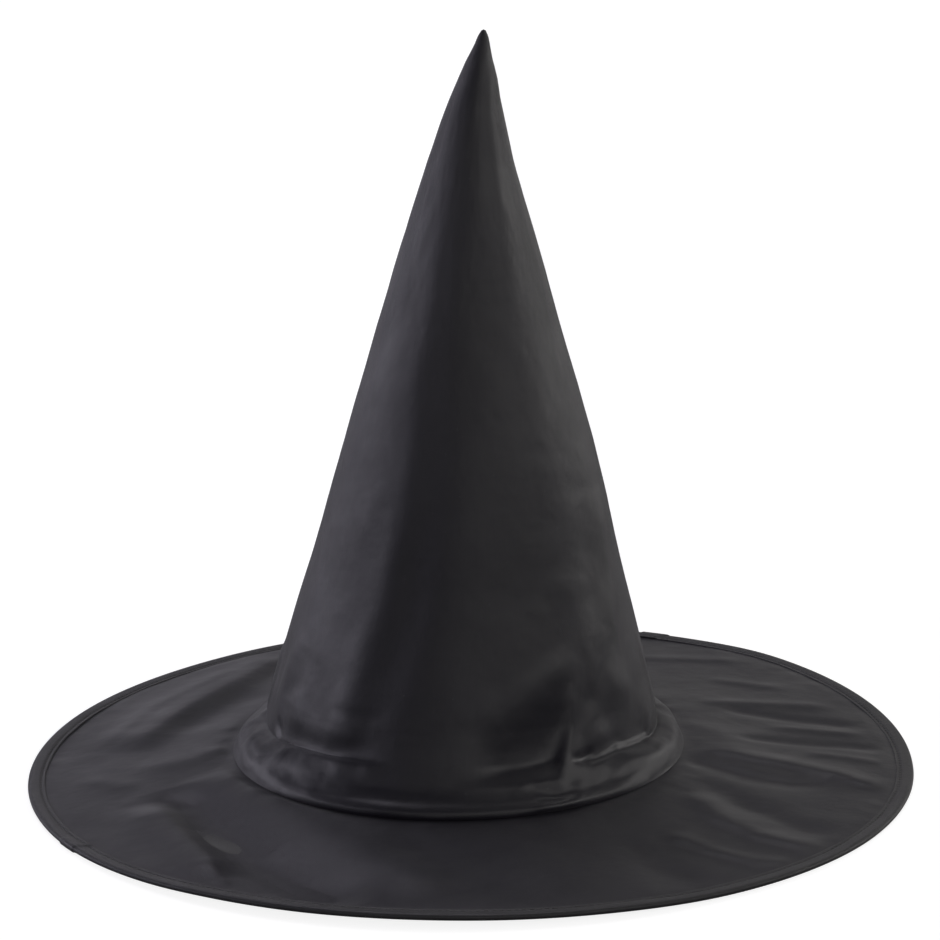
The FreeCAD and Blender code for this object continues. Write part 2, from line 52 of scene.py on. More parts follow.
SEAM_AZIMUTH = math.radians(BACK)  # every closed grid starts at the back seam
HEAD_X = -5.5                      # centre of the head opening
CLOTH = 0.6                        # thickness of the satin and of the crown's liner
COLUMNS = 640                      # of the crown's grid


# ------------------------------------------------------------------- helpers
def smooth(x):
    x = np.clip(x, 0.0, 1.0)
    return x * x * (3 - 2 * x)


def mix(a, b, share):
    return a * (1 - share) + b * share


def wrap(deg):
    """An angle in degrees, brought to -180..180."""
    return (deg + 180.0) % 360.0 - 180.0


def turn(count):
    return np.linspace(0.0, 2 * math.pi, count, endpoint=False)


def polar(radius, angle, z, centre_x=0.0):
    return (centre_x + radius * math.cos(angle), radius * math.sin(angle), z)


def pchip(x, xp, yp):
    """Monotone cubic through the points."""
    xp, yp = np.asarray(xp, float), np.asarray(yp, float)
    span = np.diff(xp)
    slope = np.diff(yp) / span
    tangent = np.zeros_like(yp)
    tangent[0], tangent[-1] = slope[0], slope[-1]
    for k in range(1, len(xp) - 1):
        if slope[k - 1] * slope[k] > 0:
            w1, w2 = 2 * span[k] + span[k - 1], span[k] + 2 * span[k - 1]
            tangent[k] = (w1 + w2) / (w1 / slope[k - 1] + w2 / slope[k])
    x = np.asarray(x, float)
    k = np.clip(np.searchsorted(xp, x) - 1, 0, len(span) - 1)
    t = (x - xp[k]) / span[k]
    return (
        (1 + 2 * t) * (1 - t) ** 2 * yp[k]
        + t * (1 - t) ** 2 * span[k] * tangent[k]
        + t * t * (3 - 2 * t) * yp[k + 1]
        + t * t * (t - 1) * span[k] * tangent[k + 1]
    )


def ring_curve(deg, points):
    """A smooth closed curve through (azimuth in degrees, value) points."""
    at, value = np.array(sorted((a % 360.0, v) for a, v in points)).T
    n = len(at)
    deg = np.asarray(deg, float) % 360.0
    k = (np.searchsorted(at, deg, side="right") - 1) % n
    a0, a1 = at[k], at[(k + 1) % n]
    span = (a1 - a0) % 360.0
    t = ((deg - a0) % 360.0) / span
    prev_span = (a0 - at[(k - 1) % n]) % 360.0
    next_span = (at[(k + 2) % n] - a1) % 360.0
    v0, v1 = value[k], value[(k + 1) % n]
    m0 = (v1 - value[(k - 1) % n]) / (span + prev_span) * span
    m1 = (value[(k + 2) % n] - v0) / (span + next_span) * span
    return (
        (1 + 2 * t) * (1 - t) ** 2 * v0
        + t * (1 - t) ** 2 * m0
        + t * t * (3 - 2 * t) * v1
        + t * t * (t - 1) * m1
    )


def noise(u, v, nu, nv, seed):
    """Value noise, closed in u: u in 0..1 over nu cells, v counted in cells."""
    table = np.random.default_rng(seed).uniform(-1, 1, (nu, nv + 4))
    fu = (u % 1.0) * nu
    fv = np.clip(v, 0, nv + 1.999)
    iu, iv = np.floor(fu).astype(int), np.floor(fv).astype(int)
    tu, tv = fu - iu, fv - iv
    tu, tv = tu ** 3 * (tu * (tu * 6 - 15) + 10), tv ** 3 * (tv * (tv * 6 - 15) + 10)
    a, b = table[iu % nu, iv], table[(iu + 1) % nu, iv]
    c, d = table[iu % nu, iv + 1], table[(iu + 1) % nu, iv + 1]
    return (a * (1 - tu) + b * tu) * (1 - tv) + (c * (1 - tu) + d * tu) * tv


def fold(x, y, height, left, right, fade, line):
    """A ridge (or groove) along a line: its height at each point (x, y). left and
    right are its half widths on either side of the line's direction, fade is the
    length over which it dies out at both ends."""
    best = np.full(np.shape(x), 1e9)
    signed = np.zeros(np.shape(x))
    along = np.zeros(np.shape(x))
    run = 0.0
    total = sum(math.dist(p, q) for p, q in zip(line[:-1], line[1:]))
    for (x0, y0), (x1, y1) in zip(line[:-1], line[1:]):
        lx, ly = x1 - x0, y1 - y0
        length = math.hypot(lx, ly)
        t = np.clip(((x - x0) * lx + (y - y0) * ly) / (length * length), 0, 1)
        ex, ey = x - (x0 + t * lx), y - (y0 + t * ly)
        dist = np.hypot(ex, ey)
        side = np.sign(lx * ey - ly * ex)
        near = dist < best
        best = np.where(near, dist, best)
        signed = np.where(near, dist * np.where(side == 0, 1, side), signed)
        along = np.where(near, run + t * length, along)
        run += length
    width = np.where(signed > 0, left, right)
    ends = smooth(along / fade * 0.9 + 0.1) * smooth((total - along) / fade * 0.9 + 0.1)
    return height * np.exp(-((signed / width) ** 2)) * ends


def add_folds(relief, x, y, table, place=lambda a, b: (a, b)):
    """Adds a table of folds; place turns a table point into the x, y in use."""
    for *shape, points in table:
        relief += fold(x, y, *shape, [place(*p) for p in points])


def ring_grid(radius, angles, z, centre_x):
    """Grid of points round an upright axis, from values that broadcast together."""
    parts = (centre_x + radius * np.cos(angles), radius * np.sin(angles), z)
    return np.stack(np.broadcast_arrays(*parts), axis=2)


def grid_normals(p):
    """Outward normals of a grid closed in its second axis."""
    du = np.roll(p, -1, axis=1) - np.roll(p, 1, axis=1)
    dv = np.empty_like(p)
    dv[1:-1] = p[2:] - p[:-2]
    dv[0], dv[-1] = p[1] - p[0], p[-1] - p[-2]
    n = np.cross(du, dv)
    return n / np.maximum(np.linalg.norm(n, axis=2, keepdims=True), 1e-12)


def link_object(name, data):
    ob = bpy.data.objects.new(name, data)
    bpy.context.scene.collection.objects.link(ob)
    return ob


def new_object(name, verts, faces, uvs, normals=None, flat_count=0):
    """verts in mm; uvs and normals by face corner; the last flat_count faces are flat."""
    me = bpy.data.meshes.new(name)
    me.from_pydata((np.asarray(verts) * METRES).tolist(), [], faces)
    rounded = np.ones(len(faces), dtype=bool)
    rounded[len(faces) - flat_count:] = False
    me.polygons.foreach_set("use_smooth", rounded)
    layer = me.uv_layers.new(name="UVMap")
    layer.data.foreach_set("uv", np.asarray(uvs, np.float32).ravel())
    me.validate(clean_customdata=False)
    me.update()
    if normals is not None:
        me.normals_split_custom_set(np.asarray(normals, float).tolist())
    return link_object(name, me)


def ring_shell(name, outer, inner, outer_normals, inner_normals, uv=None, apex=None,
               inner_step=1):
    """A closed solid between two grids (rows x azimuths). A strip from grid to grid
    closes the first end, and the far end too unless apex gives an outer and an inner
    point for it. Without uv the pattern lies in plan."""
    edge_v = 0.001                 # how far the strips reach on the pattern
    rows, cols = outer.shape[:2]
    inner_rows = sorted({*range(0, rows, inner_step), rows - 1})
    verts = np.concatenate([outer.reshape(-1, 3), inner[inner_rows].reshape(-1, 3)])
    normals = np.concatenate([outer_normals.reshape(-1, 3),
                              -inner_normals[inner_rows].reshape(-1, 3)])
    inner_start = rows * cols
    tips = len(verts)
    if apex is not None:
        verts = np.concatenate([verts, apex])
    here = np.arange(cols)
    columns = (here, (here + 1) % cols)
    if uv is not None:
        u, v = uv
        u_next = np.concatenate([u[:, 1:], u[:, -1:] + (u[:, 1:2] - u[:, 0:1])], axis=1)
        u_columns = (u, u_next)
    faces, corner_uvs, corner_normals = [], [], []

    def add_faces(*corners, edge=False):
        """A ring of faces. Each corner: first vertex of its row (or an apex), row of
        its UVs, columns onwards (0 or 1), shift of v. Edges keep their own normals."""
        ring = np.stack([
            start + columns[step] if start < tips else np.full(cols, start)
            for start, _, step, _ in corners
        ], axis=1)
        faces.extend(ring.tolist())
        if uv is None:
            corner_uvs.append(verts[ring.ravel()][:, :2] * METRES)
        else:
            corner_uvs.append(np.stack([
                np.stack([u_columns[step][row], v[row] + shift], 1)
                for _, row, step, shift in corners
            ], axis=1).reshape(-1, 2))
        corner_normals.append(np.zeros((ring.size, 3)) if edge else normals[ring.ravel()])

    for row in range(rows - 1):
        low, high = row * cols, (row + 1) * cols
        add_faces((low, row, 0, 0), (low, row, 1, 0), (high, row + 1, 1, 0),
                  (high, row + 1, 0, 0))
    for k, (row, next_row) in enumerate(zip(inner_rows[:-1], inner_rows[1:])):
        low = inner_start + k * cols
        high = low + cols
        add_faces((low, row, 0, 0), (high, next_row, 0, 0), (high, next_row, 1, 0),
                  (low, row, 1, 0))
    add_faces((inner_start, 0, 0, -edge_v), (inner_start, 0, 1, -edge_v), (0, 0, 1, 0),
              (0, 0, 0, 0), edge=True)
    outer_end, inner_end = inner_start - cols, tips - cols
    if apex is None:
        add_faces((outer_end, -1, 0, 0), (outer_end, -1, 1, 0), (inner_end, -1, 1, edge_v),
                  (inner_end, -1, 0, edge_v), edge=True)
    else:
        add_faces((outer_end, -1, 0, 0), (outer_end, -1, 1, 0), (tips, -1, 1, edge_v),
                  edge=True)
        add_faces((inner_end, -1, 0, 0), (tips + 1, -1, 1, edge_v), (inner_end, -1, 1, 0),
                  edge=True)
    return new_object(name, verts, faces, np.concatenate(corner_uvs),
                      np.concatenate(corner_normals), 2 * cols if apex is None else 0)


def stitch_run(name, places, radius=0.17):
    """One mesh of short stitches. places: (start, end, sink) in mm; each stitch lies
    between its two points and dives in by sink at both ends."""
    rings, sides = 7, 6
    verts, faces = [], []
    for start, end, sink in places:
        start, end, sink = (np.asarray(p, float) for p in (start, end, sink))
        along = (end - start) / np.linalg.norm(end - start)
        up = -sink / np.linalg.norm(sink)
        side = np.cross(along, up)
        side /= np.linalg.norm(side)
        base = len(verts)
        for t in np.linspace(0, 1, rings):
            centre = start + (end - start) * t + sink * (abs(2 * t - 1) ** 3)
            thick = radius * (0.55 + 0.45 * math.sin(math.pi * min(max(t, 0.02), 0.98)))
            for m in range(sides):
                angle = 2 * math.pi * m / sides
                verts.append(centre + (side * math.cos(angle) + up * math.sin(angle)) * thick)
        for k in range(rings - 1):
            low, high = base + k * sides, base + (k + 1) * sides
            for m in range(sides):
                after = (m + 1) % sides
                faces.append((low + m, high + m, high + after, low + after))
        faces.append(tuple(base + m for m in range(sides)))
        faces.append(tuple(base + (rings - 1) * sides + m for m in reversed(range(sides))))
    verts = np.array(verts)
    corners = verts[[i for face in faces for i in face]]
    uvs = np.stack([corners[:, 0] + corners[:, 1], corners[:, 2]], 1) * METRES
    return new_object(name, verts, faces, uvs)


# ------------------------------------------------------------ the crown's form
AZIMUTH = SEAM_AZIMUTH + turn(COLUMNS)
AZIMUTH_DEG = np.degrees(AZIMUTH) % 360.0
SET_UP = 1.2                       # the wavy rim carries the crown this much higher
LOWEST = 10.05 + SET_UP            # the foot stays on the brim

# the cone's radius at each height
CONE_Z = [31, 40, 47.7, 56.7, 65.6, 74.5, 83.4, 92.3, 101.2, 110, 118.8, 127.6, 136.4,
          145.1, 153.8, 162.6, 171.3, 179.9, 188.6, 197.2, 205.8, 214.4, 223, 231.5,
          240.1, 248.6, 257.1, 265.6, 274, 282.5, 290.9, 299.3, 307.7, 311, 314.3,
          316, 317.7, 319.4]
CONE_R = [82.6, 80.3, 78.2, 76.0, 74.0, 71.4, 68.95, 66.4, 63.85, 61.9, 59.6, 57.35, 55.1,
          52.75, 50.4, 47.95, 45.3, 42.7, 40.1, 37.6, 35.05, 32.65, 30.25, 27.95,
          25.4, 22.8, 20.1, 17.7, 15.5, 13.3, 10.8, 8.3, 5.4, 4.2, 3.1,
          2.6, 2.0, 1.0]
CONE_TOP_Z = 319.6
# x of the crown's bent axis at each height
AXIS_Z = [0, 11, 16.8, 21.8, 26, 31, 40, 66, 101, 145, 180, 214, 248.6, 265.6, 282.5,
          291, 299.3, 307.7, 314.3, 318, 320]
AXIS_X = [HEAD_X, HEAD_X, -5.08, -4.48, -3.99, -3.59, -3.2, -2.27, -0.35, 1.41, 2.08, 3.08,
          3.84, 4.44, 5.84, 6.72, 8.04, 9.01, 10.25, 10.67, 10.87]
# soft flare at the front: distance along the cloth, radius, height
FLARE = [(0.0, 96.6, 10.2), (1.3, 97.0, 11.4), (2.6, 96.7, 12.7), (4.6, 95.2, 14.3),
         (7.2, 93.0, 16.0), (10.2, 91.0, 18.5), (13.6, 89.0, 21.6), (18.0, 86.7, 25.6),
         (23.0, 84.2, 30.2), (28.0, 82.2, 34.8), (34.0, 80.2, 40.4)]
FLARE_S, FLARE_R, FLARE_Z = np.array(FLARE).T
FOOT_R, FOOT_Z = FLARE[0][1:]
CONE_S, _, CONE_START_Z = FLARE[-1]    # where the cone takes over from the flare

# rolled foot: (azimuth, value) points
CREASE_S = [(0, 14.5), (30, 15.5), (60, 18), (90, 17), (120, 19), (150, 17), (180, 17.5),
            (197, 18.6), (217, 21.5), (232, 22.0), (250, 23.0), (270, 22), (288, 20),
            (303, 19.0), (312, 18.0), (323, 18.0), (335, 15.6), (345, 13.8)]
CREASE_DEPTH = [(0, 1.2), (45, 1.5), (90, 1.0), (135, 1.6), (180, 1.2), (217, 1.5),
                (250, 1.0), (280, 0.8), (305, 1.6), (325, 1.6), (345, 1.0)]
ROLL_BULGE = [(0, 3.6), (40, 3.3), (80, 2.6), (120, 3.4), (160, 3.2), (190, 3.7),
              (220, 3.3), (245, 2.6), (270, 2.2), (290, 2.2), (305, 2.6), (325, 3.5),
              (345, 3.8)]
ROLL_SHARE = [(0, 1), (30, 0.95), (60, 0.8), (90, 0.55), (120, 0.75), (150, 0.95), (180, 1),
              (202, 1.0), (214, 0.82), (226, 0.5), (238, 0.2), (250, 0.0), (265, 0.0),
              (280, 0.0), (292, 0.0), (303, 0.12), (315, 0.42), (327, 0.8), (338, 1), (350, 1)]

# rows of the crown's grid, as distance up the cloth: from, to, step
ROW_RUNS = [(0.0, 24.0, 0.55), (24.0, 62.0, 0.95), (62.0, 200.0, 1.75),
            (200.0, 300.0, 1.6), (300.0, 320.5, 0.9)]
ROW_S = np.concatenate([np.arange(*run) for run in ROW_RUNS])


def even_cone():
    """The cone's radius, with the small unevenness of its measuring ironed out."""
    step, reach, spread = 0.7, 40, 9.0     # mm, samples, mm
    z = np.arange(31.0, CONE_TOP_Z, step)
    radius = pchip(z, CONE_Z, CONE_R)
    line = np.interp(z, [31, 300], [82.6, 8.1])
    off = radius - line
    bell = np.exp(-0.5 * (np.arange(-reach, reach + 1) * step / spread) ** 2)
    bell /= bell.sum()
    padded = np.concatenate([np.full(reach, off[0]), off, np.full(reach, off[-1])])
    soft = np.convolve(padded, bell, mode="valid")
    share = smooth((z - 33) / 12) * smooth((300 - z) / 30)
    return z, line + off * (1 - share) + soft * share


EVEN_Z, EVEN_R = even_cone()


def cone_radius(z):
    z = np.asarray(z, float)
    r = np.interp(np.clip(z, EVEN_Z[0], EVEN_Z[-1]), EVEN_Z, EVEN_R)
    return np.where(z < CONE_Z[0], CONE_R[0] + (CONE_Z[0] - z) * 0.262, r)


def axis_x(z):
    return np.interp(z, AXIS_Z, AXIS_X)


def base_crown():
    """Radius and height of the cloth before any fold, for each row and azimuth."""
    z_up = CONE_START_Z + (ROW_S - CONE_S) * (CONE_TOP_Z - CONE_START_Z) / (ROW_S[-1] - CONE_S)
    low_s = np.minimum(ROW_S, CONE_S)
    flare_r = np.where(ROW_S < CONE_S, pchip(low_s, FLARE_S, FLARE_R), cone_radius(z_up))
    flare_z = np.where(ROW_S < CONE_S, pchip(low_s, FLARE_S, FLARE_Z), z_up)
    # the roll: cloth sags over the foot and creases where it meets the wall
    s = ROW_S[:, None]
    crease = ring_curve(AZIMUTH_DEG, CREASE_S)[None, :]
    pinch = ring_curve(AZIMUTH_DEG, CREASE_DEPTH)[None, :]
    bulge = ring_curve(AZIMUTH_DEG, ROLL_BULGE)[None, :]
    u = np.clip(s / crease, 0, 1.12)
    crease_z = 11.0 + crease * 0.69
    chord_r = cone_radius(crease_z) - pinch - FOOT_R
    chord_z = crease_z - FOOT_Z
    chord = np.hypot(chord_r, chord_z)
    hump = bulge * np.clip(np.sin(math.pi * np.minimum(u, 1) ** 1.25), 0, 1) ** 0.85
    roll_r = FOOT_R + chord_r * u + chord_z / chord * hump
    roll_z = FOOT_Z + chord_z * u - chord_r / chord * hump
    # the wall above the crease
    over = np.clip(s - crease, 0, None)
    wall_z = crease_z + (CONE_START_Z - crease_z) * np.clip(over / (CONE_S - crease), 0, 1)
    wall_r = cone_radius(wall_z) - pinch * np.exp(-over / 4.5)
    # the crease is a tight bend of the cloth, not a knife edge
    bend_share = smooth((s - crease + 1.3) / 2.6)
    roll_r = mix(roll_r, wall_r, bend_share)
    roll_z = mix(roll_z, wall_z, bend_share)
    share = np.clip(ring_curve(AZIMUTH_DEG, ROLL_SHARE), 0, 1)[None, :] * (s < CONE_S)
    return mix(flare_r[:, None], roll_r, share), mix(flare_z[:, None], roll_z, share)


# ----------------------------------------------------------- the crown's relief
# The cloth's flat pattern, in mm: x along the girth from the front, y up the cloth.
PATTERN_ANGLE = np.radians(wrap(AZIMUTH_DEG - FRONT))
# girth radius at a distance up the cloth, used to place the folds
PLACE_S = [0, 12, 24, 34, 60, 100, 150, 200, 300]
PLACE_R = [96.5, 90.5, 85, 81.2, 74.5, 64, 50, 36.5, 8]

# unevenness: height, cell size, cells round, cells up, seed,
# rise above the foot (None: none), where it ends at the top, fall below that
UNEVENNESS = [
    (0.85, 95.0, 5, 6, 11, 40, 318, 120),
    (0.34, 42.0, 11, 12, 12, 25, 318, 90),
    (0.10, 17.0, 30, 24, 13, None, 318, 60),
    (0.055, 9.0, 52, 44, 16, None, 318, 60),
    (0.030, 4.6, 96, 86, 17, None, 300, 60),
]

# Folds: height, half width to the left and right of the line, fade at the ends,
# then the line as (azimuth, distance up the cloth).
# left side: cloth bellies out over the roll's lip, and puckers a little
LEFT_FOLDS = [
    (1.0, 13.0, 7.5, 20, [(200, 31), (214, 31), (230, 33), (244, 35.5), (256, 38)]),
    (-0.65, 4.4, 3.6, 14, [(206, 24.5), (218, 25.0), (232, 24.5), (246, 26)]),
    (0.65, 2.6, 4.4, 12, [(199, 18.6), (209, 19.2), (220, 19.4), (234, 19.0), (250, 20.0)]),
    (-0.34, 3.0, 2.4, 9, [(226, 40.2), (236, 39.2), (248, 39.6)]),
    (-0.25, 3.8, 3.6, 10, [(199, 36), (206, 42), (213, 47)]),
    (-0.15, 4.4, 4.0, 10, [(206, 50), (212, 55), (219, 57)]),
    (0.55, 4.6, 6.5, 16, [(193, 27), (196, 38), (200, 52), (204, 66)]),
    (-0.45, 4.6, 3.2, 14, [(236, 12.5), (250, 13.0), (266, 11.5)]),
    (0.35, 3.4, 3.0, 16, [(240, 4.6), (262, 5.2), (284, 4.6)]),
    (-0.9, 2.0, 2.4, 5, [(200, 27.5), (203, 23.5), (207, 21.0)]),
    (-0.2, 3.2, 3.2, 9, [(203, 6), (214, 9), (224, 10)]),
    (0.25, 3.4, 3.4, 10, [(208, 12), (222, 14), (234, 14.5)]),
]
FRONT_AND_RIGHT_FOLDS = [
    # the long sagging fold, the upright edge at the right of the hollow, and gathers
    (0.75, 12.0, 6.0, 16, [(312, 61), (304, 59), (295, 54.5), (286, 49), (277, 43), (270, 36)]),
    (0.9, 2.6, 7.5, 9, [(305, 52), (304, 43), (303, 34), (300.6, 26), (298, 19)]),
    (-0.7, 6.0, 5.0, 10, [(313, 50), (312, 42), (312, 34)]),
    (-1.5, 6.0, 2.4, 8, [(303, 20.0), (309, 18.6), (320, 21.0), (332, 19), (340, 16.6)]),
    (-0.8, 6.5, 6.0, 12, [(311, 38), (318, 32), (327, 27), (337, 24)]),
    (0.7, 7.0, 6.0, 12, [(318, 50), (328, 42), (338, 38)]),
    (-0.8, 2.2, 1.8, 4, [(301, 20.5), (305, 19.6), (311, 20.4)]),
    (-0.8, 2.8, 2.8, 8, [(286, 13), (292, 9.0), (299, 4.6)]),
    (0.6, 3.0, 3.4, 7, [(294, 14), (299, 9.6), (305, 5.8)]),
    (-0.3, 2.6, 2.6, 7, [(309, 9.4), (316, 7.4), (322, 7.2)]),
    (0.45, 3.0, 3.4, 10, [(312, 11), (324, 10.2), (336, 9.5), (346, 9)]),
    (0.8, 3.0, 2.4, 6, [(288, 2.8), (296, 2.2), (303, 1.6)]),
    # right side: edge fold, and a faint level crease above it
    (1.0, 12.0, 6.5, 24, [(338, 132), (336, 104), (334, 84), (330, 68), (322, 58)]),
    (-0.55, 7.0, 7.0, 22, [(324, 120), (323, 98), (321, 78), (316, 66)]),
    (-0.16, 3.4, 2.6, 14, [(311, 128), (325, 127), (350, 122)]),
    (0.7, 3.4, 4.5, 14, [(351, 24), (352, 40), (349, 60)]),
    # faint folds higher up, right, front and left
    (0.28, 5, 5, 14, [(300, 100), (308, 90), (318, 84)]),
    (0.22, 6, 6, 16, [(262, 88), (276, 80), (292, 78)]),
    (0.3, 6, 6, 16, [(225, 92), (232, 76), (240, 66)]),
]
BACK_FOLDS = [
    (1.1, 6, 3.2, 12, [(150, 30), (138, 34), (120, 31)]),
    (1.0, 6, 3.2, 12, [(62, 33), (48, 38), (30, 36)]),
]
# soft upright edge between left and front, and the flatter cloth past it:
# azimuth, height, half width
UPRIGHT_EDGES = [(239.5, 1.1, 9.0), (252.0, -1.1, 9.5)]
# bounds of the front hollow, as (azimuth, distance up the cloth)
HOLLOW_TOP = [(264, 27.0), (271, 34.0), (277, 41.0), (287.4, 48.5), (299.5, 55.5),
              (306.5, 58.0), (316, 59.0)]
HOLLOW_RIGHT = [(297, 18.0), (300, 26.0), (302.2, 33.0), (303.2, 42.0), (304.2, 52.0)]
HOLLOW_DEPTH = 4.6


def pattern_point(deg, s):
    """Pattern point of an azimuth and a distance up the cloth."""
    return (math.radians(wrap(deg - FRONT)) * float(np.interp(s, PLACE_S, PLACE_R)), s)


def add_unevenness(relief, u, y):
    """Broad and fine unevenness of a hand-set cone, and slack cloth near the foot."""
    for height, cell, around, up, seed, rise, top, fall in UNEVENNESS:
        start = smooth(y / rise) if rise else 1
        relief += height * noise(u, y / cell, around, up, seed) * start * smooth((top - y) / fall)
    near = np.exp(-np.clip(y - 6, 0, None) / 26.0)
    swayed = u + 0.08 * np.sin(y / 17.0) / 6
    relief += 0.34 * noise(swayed, y / 19.0, 22, 24, 14) * near * smooth(y / 4)
    relief += 0.16 * noise(u, y / 7.5, 60, 50, 15) * near * smooth(y / 3)


def add_upright_edges(relief, radius, y):
    """The left side turns into the front over a soft edge, and lies flatter past it."""
    fade = smooth((y - 14) / 24.0) * smooth((276 - y) / 90.0)
    fade = fade * (0.35 + 0.65 * smooth((170 - y) / 90.0))
    # it leans further left towards the foot
    sway = (1.6 * np.sin(y / 31.0) + 1.1 * np.sin(y / 13.7 + 1.0)
            + 11.0 * smooth((95.0 - y) / 60.0))
    for deg, height, width in UPRIGHT_EDGES:
        off = (PATTERN_ANGLE - np.radians(deg - FRONT)) * np.maximum(radius, 8.0) + sway
        off = off / (width * np.clip(radius / 75.0, 0.35, 1.1))
        relief += height * np.exp(-(off ** 2)) * fade * np.clip(radius / 70.0, 0.2, 1)


def add_hollow(relief, x, y):
    """The hollow that the front cloth drops into, below its long sagging fold."""
    top = np.array([pattern_point(*p) for p in HOLLOW_TOP])
    right = np.array([pattern_point(*p) for p in HOLLOW_RIGHT])
    under = np.interp(x, top[:, 0], top[:, 1]) - y
    edge = np.interp(y, right[:, 1], right[:, 0])
    hollow = smooth(under / 31.0) * (0.5 + 0.5 * np.tanh((edge - x) / 2.7))
    hollow *= smooth((x - pattern_point(266, 30)[0]) / 26.0) * smooth((y - 12.5) / 10.0)
    relief += -HOLLOW_DEPTH * hollow


def add_back_gathers(relief, x, y):
    rng = np.random.default_rng(21)
    for k in range(15):
        deg = 5 + 170 * (k + rng.uniform(-0.3, 0.3)) / 14.0
        lean = rng.uniform(-9, 9)
        high = rng.uniform(24, 52)
        line = [pattern_point(deg, 14 + rng.uniform(0, 6)),
                pattern_point(deg + lean * 0.5, 24), pattern_point(deg + lean, high)]
        height = rng.uniform(0.5, 1.2) * (1 if k % 3 else -1)
        left = rng.uniform(2.2, 5)
        right = rng.uniform(2.5, 5)
        relief += fold(x, y, height, left, right, 8, line)


def add_back_seam(relief, radius, u, y):
    """The two turned edges sink together, and the stitches pucker them."""
    off = np.radians(wrap(AZIMUTH_DEG - BACK))[None, :] * np.maximum(radius, 1.0)
    fade = smooth(y / 10) * smooth((316 - y) / 10)
    groove = -0.75 * np.exp(-((off / 0.75) ** 2))
    lips = 0.28 * np.exp(-(((np.abs(off) - 2.0) / 1.5) ** 2))
    relief += (groove + lips) * fade
    phase = y * 2 * math.pi / 6.2 + 2.5 * noise(u, y / 9.0, 7, 40, 31)
    relief += 0.16 * np.sin(phase) * np.exp(-np.abs(off) / 5.0) * fade


def crown_surface():
    radius, height = base_crown()
    surface = ring_grid(radius, AZIMUTH, height + SET_UP, axis_x(height))
    normals = grid_normals(surface)
    x = PATTERN_ANGLE * np.maximum(radius, 8.0)
    y = np.repeat(ROW_S[:, None], COLUMNS, 1)
    u = ((AZIMUTH_DEG - BACK) % 360.0 / 360.0)[None, :] + 0 * y
    relief = np.zeros_like(x)
    add_unevenness(relief, u, y)
    add_folds(relief, x, y, LEFT_FOLDS, pattern_point)
    add_upright_edges(relief, radius, y)
    add_hollow(relief, x, y)
    add_folds(relief, x, y, FRONT_AND_RIGHT_FOLDS, pattern_point)
    add_back_gathers(relief, x, y)
    add_folds(relief, x, y, BACK_FOLDS, pattern_point)
    add_back_seam(relief, radius, u, y)
    # little of it reaches the very foot, or the very tip
    relief *= smooth(y / 2.5) * 0.9 + 0.1
    relief *= np.clip(radius / 10.0, 0, 1)
    surface = surface + normals * relief[..., None]
    surface[..., 2] = np.maximum(surface[..., 2], LOWEST)
    return surface


# ------------------------------------------------------------- settled cloth
SETTLE_FRAMES = 14
SETTLE_TOP = 118.0                 # only the cloth below this distance takes part
SETTLE_SCALE = 0.01                # mm to the simulation's units, ten times life size
SETTLE_LIMIT, SETTLE_SHARE = 3.0, 0.3    # longest move kept, and how much of it is used
CLOTH_SETTINGS = dict(
    quality=6, mass=0.25,
    tension_stiffness=18.0, compression_stiffness=18.0, shear_stiffness=8.0,
    bending_stiffness=12.0,
    tension_damping=12.0, compression_damping=12.0, shear_damping=8.0, air_damping=3.0,
    vertex_group_mass="held", pin_stiffness=0.9, shrink_min=0.0,
)


def simulate(points, hold):
    """Positions of a closed grid after the cloth simulation; hold pins each row."""
    rows, cols = points.shape[:2]
    here = np.arange(cols)
    after = (here + 1) % cols
    faces = np.concatenate([
        np.stack([i * cols + here, i * cols + after,
                  (i + 1) * cols + after, (i + 1) * cols + here], 1)
        for i in range(rows - 1)
    ])
    me = bpy.data.meshes.new("settle")
    me.from_pydata((points.reshape(-1, 3) * SETTLE_SCALE).tolist(), [], faces.tolist())
    ob = link_object("settle", me)
    group = ob.vertex_groups.new(name="held")
    for i in range(rows):
        group.add((i * cols + here).tolist(), float(hold[i]), "REPLACE")
    mod = ob.modifiers.new("cloth", "CLOTH")
    for key, value in CLOTH_SETTINGS.items():
        setattr(mod.settings, key, value)
    mod.settings.effector_weights.gravity = 0.35
    mod.collision_settings.use_collision = False
    sc = bpy.context.scene
    sc.frame_start, sc.frame_end = 1, SETTLE_FRAMES
    mod.point_cache.frame_start, mod.point_cache.frame_end = 1, SETTLE_FRAMES
    for f in range(1, SETTLE_FRAMES + 1):
        sc.frame_set(f)
    evaluated = ob.evaluated_get(bpy.context.evaluated_depsgraph_get())
    got = evaluated.to_mesh()
    co = np.zeros(len(got.vertices) * 3)
    got.vertices.foreach_get("co", co)
    evaluated.to_mesh_clear()
    bpy.data.objects.remove(ob)
    bpy.data.meshes.remove(me)
    sc.frame_set(1)
    return co.reshape(rows, cols, 3) / SETTLE_SCALE


